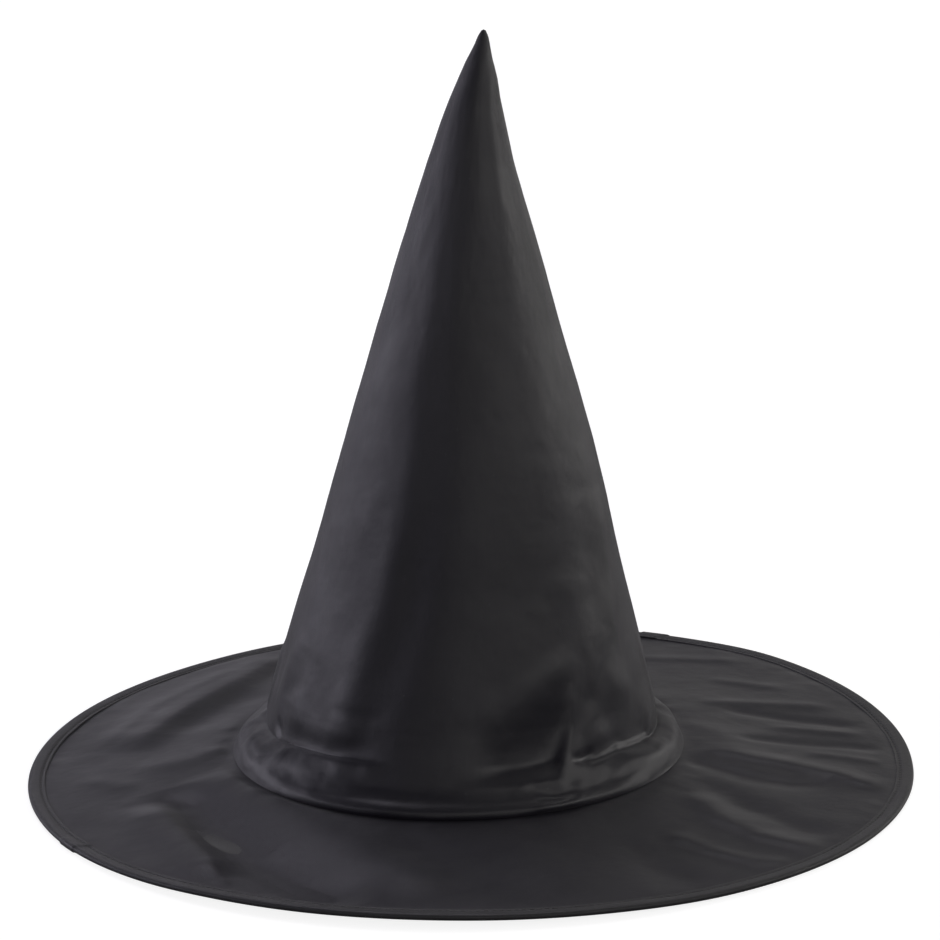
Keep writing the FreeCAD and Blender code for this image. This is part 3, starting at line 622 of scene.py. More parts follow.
def settle(surface):
    """Lets the slack cloth at the crown's foot settle: every second row and column is
    simulated, and the movement is carried to the full grid."""
    rows = np.arange(0, int(np.searchsorted(ROW_S, SETTLE_TOP)), 2)
    coarse = surface[np.ix_(rows, np.arange(0, COLUMNS, 2))]
    s = ROW_S[rows]
    hold = np.maximum(smooth((8.0 - s) / 6.0), 0.10 + 0.90 * smooth((s - 40.0) / 60.0))
    moved = simulate(coarse, hold) - coarse
    length = np.linalg.norm(moved, axis=2, keepdims=True)
    moved *= np.minimum(1.0, SETTLE_LIMIT / np.maximum(length, 1e-9))
    moved *= SETTLE_SHARE * smooth((116.0 - s) / 20.0)[:, None, None]
    full = np.zeros((len(rows), COLUMNS, 3))
    full[:, ::2] = moved
    full[:, 1::2] = (moved + np.roll(moved, -1, axis=1)) / 2
    out = surface.copy()
    fine_rows = np.arange(0, rows[-1] + 1)
    for k in range(3):
        for c in range(COLUMNS):
            out[fine_rows, c, k] += np.interp(fine_rows, rows, full[:, c, k])
    out[..., 2] = np.maximum(out[..., 2], LOWEST)
    return out


CROWN = crown_surface()
CROWN = settle(CROWN)
CROWN_NORMALS = grid_normals(CROWN)

# ------------------------------------------------------------ the crown's pieces
LINER_DEPTH = 0.72                 # the liner's face lies this far inside the cover's
PATTERN_GIRTH_R = 0.0605           # metres of pattern for each radian round the crown


def row_at(height):
    return int(np.argmin(np.abs(CROWN[..., 2].mean(axis=1) - height)))


FOOT_END = row_at(64.0)
BEND_END = row_at(196.0)
TIP_END = len(ROW_S) - 1


def crown_layer(first, last, depth):
    """Outer and inner face of one layer of cloth, from row to row."""
    part = slice(first, last + 1)
    outer = CROWN[part] - CROWN_NORMALS[part] * depth
    inner = CROWN[part] - CROWN_NORMALS[part] * (depth + CLOTH)
    return part, outer, inner


def crown_shell(name, part, outer, inner, apex=None, inner_step=3):
    normals = CROWN_NORMALS[part]
    uv = np.meshgrid(turn(COLUMNS) * PATTERN_GIRTH_R, ROW_S[part] * METRES)
    return ring_shell(name, outer, inner, normals, normals, uv, apex, inner_step)


def cover_tip():
    """The cover's point: the cloth closes, and the hollow stops short of it."""
    part, outer, inner = crown_layer(BEND_END, TIP_END, 0.0)
    centre = outer.mean(axis=1, keepdims=True)
    outward = outer - centre
    outward[..., 2] = 0
    radius = np.linalg.norm(outward, axis=2, keepdims=True)
    inner_radius = np.maximum(radius - CLOTH, radius * 0.25)
    level_inner = centre + outward / np.maximum(radius, 1e-9) * inner_radius
    level_inner[..., 2] = outer[..., 2] - 0.1
    inner = mix(inner, level_inner, smooth((outer[..., 2:3] - 290.0) / 15.0))
    top = outer[-1].mean(axis=0) + np.array([0.05, 0, 0.55])
    low = inner[-1].mean(axis=0) - np.array([0, 0, 0.3])
    return crown_shell("crown_cover_point", part, outer, inner, (top, low), inner_step=2)


def liner_tip():
    """The liner's point, closed below the cover's."""
    part, outer, inner = crown_layer(BEND_END, row_at(300.0), LINER_DEPTH)
    top = outer[-1].mean(axis=0) + np.array([0.2, 0, 1.5])
    low = inner[-1].mean(axis=0) + np.array([0.1, 0, 0.4])
    return crown_shell("crown_liner_point", part, outer, inner, (top, low), inner_step=1)


foot = crown_shell("crown_cover_foot", *crown_layer(0, FOOT_END, 0.0))
bend = crown_shell("crown_cover_bend", *crown_layer(FOOT_END, BEND_END, 0.0))
point = cover_tip()
liner_foot = crown_shell("crown_liner_foot", *crown_layer(3, FOOT_END, LINER_DEPTH))
liner_bend = crown_shell("crown_liner_bend", *crown_layer(FOOT_END, BEND_END, LINER_DEPTH))
liner_point = liner_tip()

# -------------------------------------------------------------------- the brim
# lift of the rim above the table, and change of its radius: (azimuth, mm)
RIM_WAVE = [(0, 0.1), (14, 0.7), (26, 1.75), (37, 2.65), (46, 3.2), (58, 2.55), (75, 2.15),
            (100, 1.85), (120, 1.35), (135, 0.85), (155, 0.7), (172, 0.3), (184, 0.0),
            (205, 0.0), (216, 0.6), (226, 1.5), (236, 2.6), (250, 3.1), (263, 3.2),
            (275, 2.7), (287, 2.0), (300, 0.8), (312, 0.35), (325, 0.1), (343, 0.0)]
RIM_REACH = [(0, -1.3), (20, -0.5), (45, 0.4), (90, 0.2), (135, -0.4), (180, 0.0),
             (230, 0.1), (270, -0.3), (300, 0.5), (325, 1.2), (345, -0.2)]
FLAT = 0.78                        # the pressed rim is flatter than it is wide
BINDING_R = 1.8                    # round outer edge of the rim's binding
RING_R, RING_Z = 188.2, BINDING_R * FLAT    # centre of the rim's wire
BRIM_R = 186.9                     # edge of the brim's layers, inside the binding
BRIM_HOLE_R = 95.0
BRIM_INNER_Z = 10.1 + SET_UP

# Folds: height, half width to the left and right of the line, fade at the ends,
# then the line as (x, y).
BRIM_FOLDS = [
    # left: broad soft drapes
    (2.6, 15, 9, 22, [(-150, 14), (-128, 62), (-108, 98), (-84, 148)]),
    (-1.0, 9, 10, 20, [(-128, 30), (-112, 58), (-92, 92)]),
    (0.7, 7, 5, 16, [(-160, 26), (-144, 68), (-124, 99), (-106, 126)]),
    (3.0, 17, 17, 26, [(-113, -23), (-92, -59), (-59, -107), (-30, -139), (-8, -168)]),
    (-3.8, 15, 12, 22, [(-125, -37), (-109, -81), (-92, -120), (-71, -148), (-44, -176)]),
    (3.0, 10, 13, 20, [(-135, -51), (-124, -86), (-112, -115), (-100, -141)]),
    (0.7, 3.0, 4.5, 9, [(-109, -122), (-103, -138), (-98, -152)]),
    (0.9, 10, 8, 18, [(-146, -12), (-118, -7), (-102, 8)]),
    (0.6, 7, 6, 12, [(-168, -14), (-154, -24), (-142, -36)]),
    # front
    (-1.5, 17, 15, 26, [(-38, -106), (-14, -138), (2, -178)]),
    (0.9, 16, 15, 26, [(12, -104), (30, -140), (44, -176)]),
    (-0.9, 10, 10, 22, [(52, -98), (72, -132), (90, -160)]),
    # right: mostly ridges and valleys running out from the crown to the edge
    (-1.3, 6, 8, 14, [(86, -18), (101, -28), (116, -38), (134, -43), (155, -40)]),
    (1.3, 8, 5, 14, [(96, -10), (112, -14), (134, -21), (155, -31), (176, -47)]),
    (1.4, 8, 6, 14, [(90, -62), (103, -90), (116, -104), (135, -113), (146, -119)]),
    (0.9, 6, 5, 12, [(78, -104), (96, -121), (112, -130), (134, -134)]),
    (-1.2, 9, 8, 16, [(96, -44), (111, -70), (130, -89), (150, -102)]),
    (0.6, 6, 4.5, 14, [(64, 130), (84, 127), (112, 124), (126, 120)]),
    (0.5, 5, 4.5, 12, [(104, 96), (124, 88), (142, 82)]),
    (0.8, 6, 5, 14, [(98, 57), (124, 59), (162, 58)]),
    (-0.9, 5, 5, 14, [(108, 50), (142, 40), (173, 33)]),
    (0.7, 4.5, 4, 12, [(126, 28), (150, 25), (173, 22)]),
    (-0.75, 5, 4.5, 12, [(112, 11), (138, 8), (163, 7), (179, 3)]),
    (0.5, 4, 4, 10, [(140, -4), (160, -8), (178, -14)]),
    (0.6, 8, 8, 12, [(98, 26), (108, 12), (112, -2), (108, -14)]),
    # back: drapes of the same kind
    (1.1, 10, 8, 20, [(-60, 110), (-72, 140), (-80, 166)]),
    (-1.0, 11, 11, 22, [(-18, 104), (-20, 140), (-16, 178)]),
    (1.0, 9, 9, 22, [(28, 104), (36, 140), (46, 172)]),
]


def rim_wave(deg):
    return np.maximum(ring_curve(deg, RIM_WAVE), 0.0)


def rim_path(deg):
    """Radius and height of the wire's centre."""
    return RING_R + ring_curve(deg, RIM_REACH), RING_Z + rim_wave(deg)


def brim_height(x, y, phi, u):
    """Height of the brim's upper face; u runs from 0 at the hole to 1 at the edge."""
    rim = rim_wave(np.degrees(phi) % 360.0) + RING_Z + 1.10 * FLAT
    z = BRIM_INNER_Z + (rim - BRIM_INNER_Z) * np.where(u > 0.955, 1.0, u / 0.955)
    z = z - 0.9 * np.sin(math.pi * np.clip(u, 0, 1)) * 0.6
    body = smooth(u / 0.10) * smooth((1.0 - u) / 0.10)
    relief = np.zeros_like(x)
    add_folds(relief, x, y, BRIM_FOLDS)
    # the right side is more crumpled than the left
    around = (phi - SEAM_AZIMUTH) / (2 * math.pi)
    right = smooth((x - 40) / 60.0)
    fine = noise(around + 0.01 * np.sin(u * 5), u * 3.0, 58, 5, 41)
    finer = noise(around, u * 4.0 + 0.4, 120, 6, 42)
    relief += 0.24 * fine * (0.3 + 0.7 * right) + 0.05 * finer * (0.4 + 0.6 * right)
    relief += 0.5 * noise(around, u * 2.0, 14, 4, 43)
    # pull of the seam at the crown, and of the stitching at the binding
    relief += 0.35 * noise(around, 0.5, 84, 2, 44) * np.exp(-((u - 0.06) / 0.09) ** 2)
    relief += 0.16 * noise(around, 0.5, 150, 2, 45) * np.exp(-((u - 0.93) / 0.05) ** 2)
    dip = -0.22 * np.exp(-(((u - 0.04) / 0.05) ** 2)) * smooth(u / 0.03)
    # a valley that reaches the table lies flat on it
    table = 2.46 - 0.6 * smooth((u - 0.89) / 0.06)
    return np.maximum(z + relief * body + dip, table)


def brim_layer(name, columns, rows, lift, thick, inner_step):
    """One layer; lift is the height of its upper face above the brim's surface."""
    # rows go inwards, so that the shell's outer side faces up
    u = np.linspace(0, 1, rows)[::-1, None]
    phi = SEAM_AZIMUTH + turn(columns)
    edge_r = BRIM_R + ring_curve(np.degrees(phi) % 360.0, RIM_REACH)
    x = mix(HEAD_X + BRIM_HOLE_R * np.cos(phi), edge_r * np.cos(phi), u)
    y = mix(BRIM_HOLE_R * np.sin(phi), edge_r * np.sin(phi), u)
    surface = np.stack([x, y, brim_height(x, y, phi[None, :], u)], axis=2)
    normals = grid_normals(surface)
    # the layers are pressed thinner where the binding grips them
    press = (1.0 - (1.0 - FLAT) * smooth((u - 0.90) / 0.05))[..., None]
    top = surface + normals * lift * press
    bottom = surface + normals * (lift - thick) * press
    return ring_shell(name, top, bottom, normals, normals, inner_step=inner_step)


brim_top = brim_layer("brim_top", 800, 104, lift=0.0, thick=CLOTH, inner_step=12)
brim_felt = brim_layer("brim_felt", 400, 40, lift=-0.65, thick=1.0, inner_step=8)
brim_under = brim_layer("brim_under", 560, 70, lift=-1.70, thick=CLOTH, inner_step=4)

# ------------------------------------------------------------- the bound rim
STITCHES = 384
STITCH_IN = 3.9                    # the stitch line lies this far inside the wire
JOINT = 63.5                       # azimuth of the hoop's joint
LAPS = (JOINT, 209.0)              # the strip is pieced from two lengths
LAP_THICK = 0.42


def sweep(name, section, count, start=0.0, end=360.0, jitter=None):
    """Sweeps a closed section of (radius, height) offsets along the rim's path."""
    m = len(section)
    section = np.array(section, float)
    full = abs(end - start) >= 359.999
    deg = np.linspace(start, end, count, endpoint=not full)
    path_r, path_z = rim_path(deg)
    r = path_r[:, None] + section[None, :, 0]
    z = path_z[:, None] + section[None, :, 1]
    if jitter is not None:
        dr, dz = jitter(deg[:, None], section[None, :, 0], section[None, :, 1])
        r, z = r + dr, z + dz
    verts = ring_grid(r, np.radians(deg)[:, None], z, 0.0).reshape(-1, 3)
    spans = count if full else count - 1
    i = np.arange(spans)[:, None]
    after = (i + 1) % count
    k = np.arange(m)
    k_next = (k + 1) % m
    faces = np.stack([i * m + k, after * m + k, after * m + k_next, i * m + k_next], 2)
    faces = faces.reshape(-1, 4).tolist()
    # pattern coordinates: round the rim, and across the strip
    sides = np.hypot(*(np.roll(section, -1, 0) - section).T)
    across = np.concatenate([[0], np.cumsum(sides)]) * METRES
    run = np.radians(deg) * 0.188
    u, low, high = np.broadcast_arrays(run[:spans, None], across[:-1], across[1:])
    u_next = u + (run[1] - run[0])
    uvs = np.stack([u, low, u_next, low, u_next, high, u, high], 2).reshape(-1, 2)
    if not full:
        faces.append(list(range(m)))
        faces.append([(count - 1) * m + n for n in reversed(range(m))])
        uvs = np.concatenate([uvs, np.zeros((2 * m, 2))])
    return new_object(name, verts, faces, uvs)


def arc_points(radius, start, end, count):
    return [(radius * math.cos(math.radians(a)), radius * math.sin(math.radians(a)))
            for a in np.linspace(start, end, count)]


def binding_section():
    """Outline of the folded strip, relative to the wire's centre."""
    points = [  # upper leg, from the folded edge outwards
        (-5.55, 1.18), (-5.62, 1.34), (-5.5, 1.56), (-5.2, 1.66), (-4.8, 1.62), (-4.4, 1.50),
        (-4.1, 1.36), (-3.9, 1.31), (-3.7, 1.36), (-3.35, 1.52), (-2.9, 1.64), (-2.2, 1.70),
        (-1.4, 1.74), (-0.7, 1.79)]
    points += arc_points(BINDING_R, 90, -90, 13)
    points += [  # lower leg, back inwards, and its inner face
        (-1.2, -1.80), (-2.4, -1.78), (-3.3, -1.72), (-3.7, -1.56), (-3.9, -1.50),
        (-4.1, -1.56), (-4.6, -1.74), (-5.2, -1.76), (-5.5, -1.66), (-5.62, -1.5),
        (-5.5, -1.30), (-5.3, -1.25), (-3.0, -1.25), (-0.6, -1.25)]
    points += arc_points(1.25, -80, 80, 7)
    points += [(-0.6, 1.25), (-3.0, 1.18), (-5.2, 1.12)]
    return [(r, z * FLAT) for r, z in points[::-1]]


def binding_jitter(deg, r, z):
    """Stitches pull the strip in, and its lengths overlap at the laps."""
    outer = (np.abs(z) > 1.27 * FLAT) | (r > 1.3)
    phase = np.cos(np.radians(deg) * STITCHES)
    line = np.exp(-(((r + STITCH_IN) / 0.9) ** 2)) * outer
    dz = -np.sign(z) * line * 0.10 * (0.5 + 0.5 * phase)
    edge = np.exp(-(((r + 5.5) / 0.5) ** 2))
    around = deg / 360.0
    dr = edge * (0.22 * noise(around, 0.5, 150, 2, 51) + 0.06 * phase)
    # the overlaps are cut on the bias
    flap = 0.0
    for lap in LAPS:
        off = wrap(deg - lap) + r * 0.16
        flap = flap + smooth((off + 2.6) / 0.25) * smooth((1.5 - off) / 0.25)
    length = np.maximum(np.hypot(r, z), 1e-6)
    dr = dr + flap * outer * np.where(r > 0, r / length, 0.0) * LAP_THICK
    dz = dz + flap * outer * np.where(r > 0, z / length, np.sign(z)) * LAP_THICK
    dz = dz + 0.10 * noise(around, 0.5, 46, 2, 52) * (r < 0.5)
    # the underside stays on the table
    dz = np.where((z < 0) & outer & (flap < 0.5), np.maximum(dz, 0.0), dz)
    return dr, np.maximum(dz, -(RING_Z + rim_wave(deg) + z))


def tube_section(radius, sides, flat=1.0):
    return [
        (radius * math.cos(2 * math.pi * k / sides),
         radius * math.sin(2 * math.pi * k / sides) * flat)
        for k in reversed(range(sides))
    ]


def sleeve_jitter(deg, r, z):
    """Two crimps squeeze the sleeve."""
    crimp = np.exp(-(((np.abs(deg - JOINT) - 1.4) / 0.35) ** 2))
    return -r * 0.08 * crimp, -z * 0.08 * crimp


def edge_stitches():
    """A row of stitches above and one below, round the binding."""
    places = []
    for k in range(STITCHES):
        ends = [(k + share) * 360.0 / STITCHES for share in (0.10, 0.90)]
        near = min(abs(wrap((ends[0] + ends[1]) / 2 - lap - 0.1)) for lap in LAPS)
        flap = LAP_THICK if near < 1.9 else 0.0
        for side, height in ((1, 1.42 * FLAT + flap), (-1, -1.52 * FLAT)):
            points = []
            for deg in ends:
                r, z = rim_path(deg)
                points.append(polar(float(r) - STITCH_IN, math.radians(deg), float(z) + height))
            places.append((*points, (0, 0, -0.30 * side)))
    return stitch_run("rim_edge_stitches", places)


binding = sweep("rim_binding_strip", binding_section(), 1536, jitter=binding_jitter)
wire = sweep("rim_hoop", tube_section(0.8, 10), 540, start=JOINT + 0.25, end=JOINT + 359.75)
sleeve = sweep("rim_hoop_sleeve", tube_section(1.12, 14, FLAT), 60,
               start=JOINT - 2.75, end=JOINT + 2.75, jitter=sleeve_jitter)
stitches = edge_stitches()

# ------------------------------------------------------------ the head opening
BAND_COLUMNS = 400
BAND_HEIGHTS = np.concatenate([
    np.array([1.0, 1.15, 1.5, 2.2, 3.0, 3.5, 3.8, 4.0, 4.2, 4.5, 5.0, 6.0]),
    np.linspace(7.5, 12.0, 5), np.linspace(13.0, 31.0, 19), np.array([31.4]),
])
# the band's outer radius at a few heights
BAND_LINE_Z = [0, 12.2, 16.5, 21.8, 26.0, 32.0]
BAND_LINE_R = [92.8, 92.8, 90.6, 85.6, 81.6, 79.2]
BAND_THICK = 0.8
BAND_FREE_ROW = 13                 # rows from here up are evened out
SEAM_Z = 4.0                       # height of the head seam
SEAM_STITCHES = 190
# stitches on the band's and on the outer side of the seam: radius, outward sink
SEAM_SIDES = [(92.12, 0.3), (95.32, -0.3)]


def liner_radius(phi, z):
    """Smallest radius the liner's inner face has at these azimuths, near this height."""
    column = ((phi - SEAM_AZIMUTH) / (2 * math.pi) * COLUMNS) % COLUMNS
    column = np.floor(column).astype(int) % COLUMNS
    top = row_at(45.0)
    face = CROWN[:top] - CROWN_NORMALS[:top] * (LINER_DEPTH + CLOTH)
    face = face[:, column]
    radius = np.hypot(face[..., 0] - axis_x(face[..., 2]), face[..., 1])
    return np.where(np.abs(face[..., 2] - z) < 1.6, radius, 200.0).min(axis=0)


def sweatband():
    phi = SEAM_AZIMUTH + turn(BAND_COLUMNS)
    rows = []
    for z, line in zip(BAND_HEIGHTS, pchip(BAND_HEIGHTS, BAND_LINE_Z, BAND_LINE_R)):
        r = np.full(BAND_COLUMNS, line)
        if z > 14:
            r = np.minimum(r, liner_radius(phi, z) - 0.35)
        rows.append(r)
    radius = np.array(rows)
    # even out sharp dents
    for _ in range(6):
        up = radius[BAND_FREE_ROW:]
        evened = (np.roll(up, 1, 1) + up + np.roll(up, -1, 1)) / 3
        radius[BAND_FREE_ROW:] = np.minimum(up, evened)
    z = BAND_HEIGHTS[:, None]
    # the seam draws the inner face in
    pull = 0.30 * np.exp(-(((z - SEAM_Z) / 0.45) ** 2))
    outer = ring_grid(radius, phi, z, axis_x(z))
    inner = ring_grid(radius - BAND_THICK + pull, phi, z, axis_x(z))
    uv = np.meshgrid(turn(BAND_COLUMNS) * 0.0924, BAND_HEIGHTS * METRES)
    return ring_shell("sweatband_ribbon", outer, inner, grid_normals(outer),
                      grid_normals(inner), uv)


def seam_stitches():
    places = []
    for k in range(SEAM_STITCHES):
        start = 2 * math.pi * (k + 0.12) / SEAM_STITCHES
        end = 2 * math.pi * (k + 0.88) / SEAM_STITCHES
        for radius, sink in SEAM_SIDES:
            places.append((polar(radius, start, SEAM_Z, HEAD_X),
                           polar(radius, end, SEAM_Z, HEAD_X),
                           polar(sink, (start + end) / 2, 0)))
    return stitch_run("head_seam_stitches", places)


def allowance(name, radius, top):
    """A seam allowance that hangs down through the brim's hole."""
    heights = np.linspace(2.0, top, 9)
    phi = SEAM_AZIMUTH + turn(320)
    outer = ring_grid(radius, phi, heights[:, None], HEAD_X)
    inner = ring_grid(radius - CLOTH, phi, heights[:, None], HEAD_X)
    uv = np.meshgrid(phi * 0.0945, heights * METRES)
    return ring_shell(name, outer, inner, grid_normals(outer), grid_normals(inner), uv)


band = sweatband()
head_stitches = seam_stitches()
cover_allow = allowance("crown_cover_allowance", radius=94.7, top=10.9 + SET_UP)
liner_allow = allowance("crown_liner_allowance", radius=94.0, top=11.6 + SET_UP)

# ---------------------------------------------------- thread of the back seam
THREAD_PITCH = 2.6
THREAD_GAP = 1.5                   # left free on either side of a joint between pieces


def seam_thread(name, z0, z1):
    """Stitches up the back seam, from height to height."""
    normals = CROWN_NORMALS[:, 0]
    points = CROWN[:, 0] - normals * 0.12
    steps = np.linalg.norm(np.diff(points, axis=0), axis=1)
    dist = np.concatenate([[0], np.cumsum(steps)])

    def at(d, values):
        return np.array([np.interp(d, dist, values[:, k]) for k in range(3)])

    # the height rises steadily only above the foot's first rows
    d, end = (np.interp(z, points[6:, 2], dist[6:]) for z in (z0, z1))
    places = []
    while d + THREAD_PITCH < end:
        places.append((at(d + 0.25, points), at(d + 2.35, points), -0.28 * at(d + 1.3, normals)))
        d += THREAD_PITCH
    return stitch_run(name, places, radius=0.16)


foot_top, bend_top = CROWN[FOOT_END, 0, 2], CROWN[BEND_END, 0, 2]
thread_foot = seam_thread("back_seam_stitches_foot", 32.0, foot_top - THREAD_GAP)
thread_bend = seam_thread("back_seam_stitches_bend", foot_top + THREAD_GAP,
                          bend_top - THREAD_GAP)
thread_point = seam_thread("back_seam_stitches_point", bend_top + THREAD_GAP, 304.0)

# ------------------------------------------------------------------ care label
LABEL_X, LABEL_Y = -2.27, 71.6
LABEL_HALF_WIDTH = 10
LABEL_TOP, LABEL_LENGTH = 62.8, 28.0
LABEL_HALF_THICK = 0.19


def label_mesh():
    """A folded satin ribbon with a little curl, hanging from its hem."""
    nx, nz = 22, 34
    verts = []
    for off in (LABEL_HALF_THICK, -LABEL_HALF_THICK):
        for z in np.linspace(LABEL_TOP, LABEL_TOP - LABEL_LENGTH, nz):
            t = (LABEL_TOP - z) / LABEL_LENGTH
            for x in np.linspace(-LABEL_HALF_WIDTH, LABEL_HALF_WIDTH, nx):
                curl = -0.9 * t * t * (x / 10.0) ** 2 + 0.5 * t * math.sin(x * 0.22 + 1.2)
                verts.append((LABEL_X + x, LABEL_Y + off * (1 - 0.1 * t) + curl * t, z))
    m = nx * nz
    faces = []
    for i in range(nz - 1):
        for k in range(nx - 1):
            a = i * nx + k
            b, c, d = a + 1, a + nx + 1, a + nx
            faces += [(a, b, c, d), (m + a, m + d, m + c, m + b)]
    for i in range(nz - 1):
        a, b = i * nx, (i + 1) * nx
        faces.append((a, b, m + b, m + a))
        a, b = a + nx - 1, b + nx - 1
        faces.append((a, m + a, m + b, b))
    for k in range(nx - 1):
        a, b = (nz - 1) * nx + k, (nz - 1) * nx + k + 1
        faces += [(a, b, m + b, m + a), (k, m + k, m + k + 1, k + 1)]
    corners = np.array(verts)[[i for face in faces for i in face]]
    return new_object("care_label_ribbon", verts, faces, corners[:, [0, 2]] * METRES)


label = label_mesh()


# ------------------------------------------------------------- shader helpers
def plug(tree, socket, value):
    """Links a node's first output or a socket to an input, or sets its value."""
    if isinstance(value, bpy.types.Node):
        value = value.outputs[0]
    if isinstance(value, bpy.types.NodeSocket):
        tree.links.new(value, socket)
    else:
        socket.default_value = value


def set_inputs(tree, node, **inputs):
    """Inputs by name, with underscores for the spaces."""
    for key, value in inputs.items():
        plug(tree, node.inputs[key.replace("_", " ")], value)


def add_node(tree, kind, *values, **inputs):
    """A new node, its inputs given in order or by name."""
    node = tree.nodes.new(kind)
    for k, value in enumerate(values):
        plug(tree, node.inputs[k], value)
    set_inputs(tree, node, **inputs)
    return node


def calc(tree, operation, *values):
    node = add_node(tree, "ShaderNodeMath", *values)
    node.operation = operation
    return node


def noise_texture(tree, vector, scale, detail, roughness):
    return add_node(tree, "ShaderNodeTexNoise", Vector=vector, Scale=scale, Detail=detail,
                    Roughness=roughness)


def color_ramp(tree, factor, dark, light, low=0.0, high=1.0):
    node = add_node(tree, "ShaderNodeValToRGB", factor)
    for element, color, place in zip(node.color_ramp.elements, (dark, light), (low, high)):
        element.position = place
        element.color = (*color, 1)
    return node


def coords(tree, scale):
    """Pattern coordinates of the cloth, scaled so that 1 is one yarn or cell."""
    uv = tree.nodes.new("ShaderNodeUVMap")
    uv.uv_map = "UVMap"
    return add_node(tree, "ShaderNodeMapping", uv, Scale=scale)


def clear_tree(owner, output_kind):
    owner.use_nodes = True
    owner.node_tree.nodes.clear()
    return owner.node_tree, owner.node_tree.nodes.new(output_kind)


def material(name):
    m = bpy.data.materials.new(name)
    tree, out = clear_tree(m, "ShaderNodeOutputMaterial")
    bsdf = tree.nodes.new("ShaderNodeBsdfPrincipled")
    plug(tree, out.inputs[0], bsdf)
    return m, tree, bsdf


# ------------------------------------------------------------------- materials
def weave_height(tree, yarns, weave):
    """Relief of the yarns; one unit of the coordinates is one yarn."""
    if weave == "felt":
        fuzz = noise_texture(tree, yarns, scale=1.0, detail=6.0, roughness=0.7)
        return calc(tree, "MULTIPLY", fuzz, 1.6)
    split = add_node(tree, "ShaderNodeSeparateXYZ", yarns)
    across, along = split.outputs[0], split.outputs[1]

    def wave(socket, rate):
        return calc(tree, "SINE", calc(tree, "MULTIPLY", socket, rate))

    if weave == "satin":
        # long floats: each warp yarn dips once in five, one place further along
        yarn = calc(tree, "ABSOLUTE", wave(across, math.pi))
        index = calc(tree, "FLOOR", across)
        phase = calc(tree, "ADD", calc(tree, "MULTIPLY", along, 2 * math.pi / 5.0),
                     calc(tree, "MULTIPLY", index, 2 * math.pi * 2.0 / 5.0))
        half = calc(tree, "MULTIPLY_ADD", calc(tree, "COSINE", phase), 0.5, 0.5)
        dip = calc(tree, "POWER", half, 4.0)
        return calc(tree, "SUBTRACT", yarn, calc(tree, "MULTIPLY", dip, 0.8))
    if weave == "rib":
        rib = calc(tree, "ABSOLUTE", wave(across, math.pi / 2.2))
        return calc(tree, "MULTIPLY_ADD", wave(along, 2 * math.pi), 0.22, rib)
    # plain weave
    return calc(tree, "MULTIPLY", wave(across, math.pi), wave(along, math.pi))


def cloth(name, dark, light, rough, yarn_mm, weave, sheen=0.15, bump=0.25, spec=0.5,
          mottle=0.5):
    """Woven or felted cloth: yarns, mottled colour, uneven gloss, a little lint."""
    m, tree, bsdf = material(name)
    yarn_rate = 1000.0 / yarn_mm
    height = weave_height(tree, coords(tree, (yarn_rate, yarn_rate, 1.0)), weave)
    # colour: broad mottling and fine yarn-to-yarn difference
    place = tree.nodes.new("ShaderNodeTexCoord").outputs["Object"]
    broad = noise_texture(tree, place, scale=14.0, detail=4.0, roughness=0.6)
    fine = noise_texture(tree, coords(tree, (yarn_rate, 60.0, 1.0)), scale=0.5, detail=2.0,
                         roughness=0.5)
    shade = calc(tree, "ADD", calc(tree, "MULTIPLY", broad, mottle),
                 calc(tree, "MULTIPLY", fine, 1.0 - mottle))
    ramp = color_ramp(tree, shade, dark, light, low=0.34, high=0.66)
    # lint and dust, very sparse
    lint = noise_texture(tree, place, scale=900.0, detail=1.0, roughness=0.4)
    speck = add_node(tree, "ShaderNodeMapRange", Value=lint, From_Min=0.78, From_Max=0.84)
    color = tree.nodes.new("ShaderNodeMix")
    color.data_type = "RGBA"
    # inputs 6 and 7 and output 2 are the colour ones
    plug(tree, color.inputs[6], ramp)
    plug(tree, color.inputs[7], (0.09, 0.09, 0.095, 1))
    set_inputs(tree, color, Factor=calc(tree, "MULTIPLY", speck, 0.35))
    # gloss varies with handling
    handled = noise_texture(tree, place, scale=38.0, detail=3.0, roughness=0.55)
    gloss = add_node(tree, "ShaderNodeMapRange", Value=handled, From_Min=0.3, From_Max=0.7,
                     To_Min=rough - 0.045, To_Max=rough + 0.045)
    # relief: soft cockle of the cloth, 13.2 mm across, under the yarns
    cockle = noise_texture(tree, place, scale=1000.0 / 13.2, detail=3.0, roughness=0.5)
    soft = add_node(tree, "ShaderNodeBump", Strength=0.45, Distance=0.00075, Height=cockle)
    yarns = add_node(tree, "ShaderNodeBump", Strength=bump, Distance=yarn_mm * 0.00025,
                     Height=height, Normal=soft)
    set_inputs(tree, bsdf, Base_Color=color.outputs[2], Roughness=gloss,
               Specular_IOR_Level=spec, Sheen_Weight=sheen, Sheen_Roughness=0.45,
               Normal=yarns)
    return m


def steel(name, base, rough, streak):
    """Drawn wire: fine streaks, slightly tinted."""
    m, tree, bsdf = material(name)
    streaks = noise_texture(tree, coords(tree, (60.0, streak, 1.0)), scale=1.0, detail=4.0,
                            roughness=0.6)
    ramp = color_ramp(tree, streaks,
                      dark=(base[0] * 0.72, base[1] * 0.72, base[2] * 0.74),
                      light=(base[0] * 1.12, base[1] * 1.1, base[2] * 1.06))
    relief = add_node(tree, "ShaderNodeBump", Strength=0.2, Distance=0.00005, Height=streaks)
    set_inputs(tree, bsdf, Base_Color=ramp, Metallic=1.0, Roughness=rough, Normal=relief)
    return m


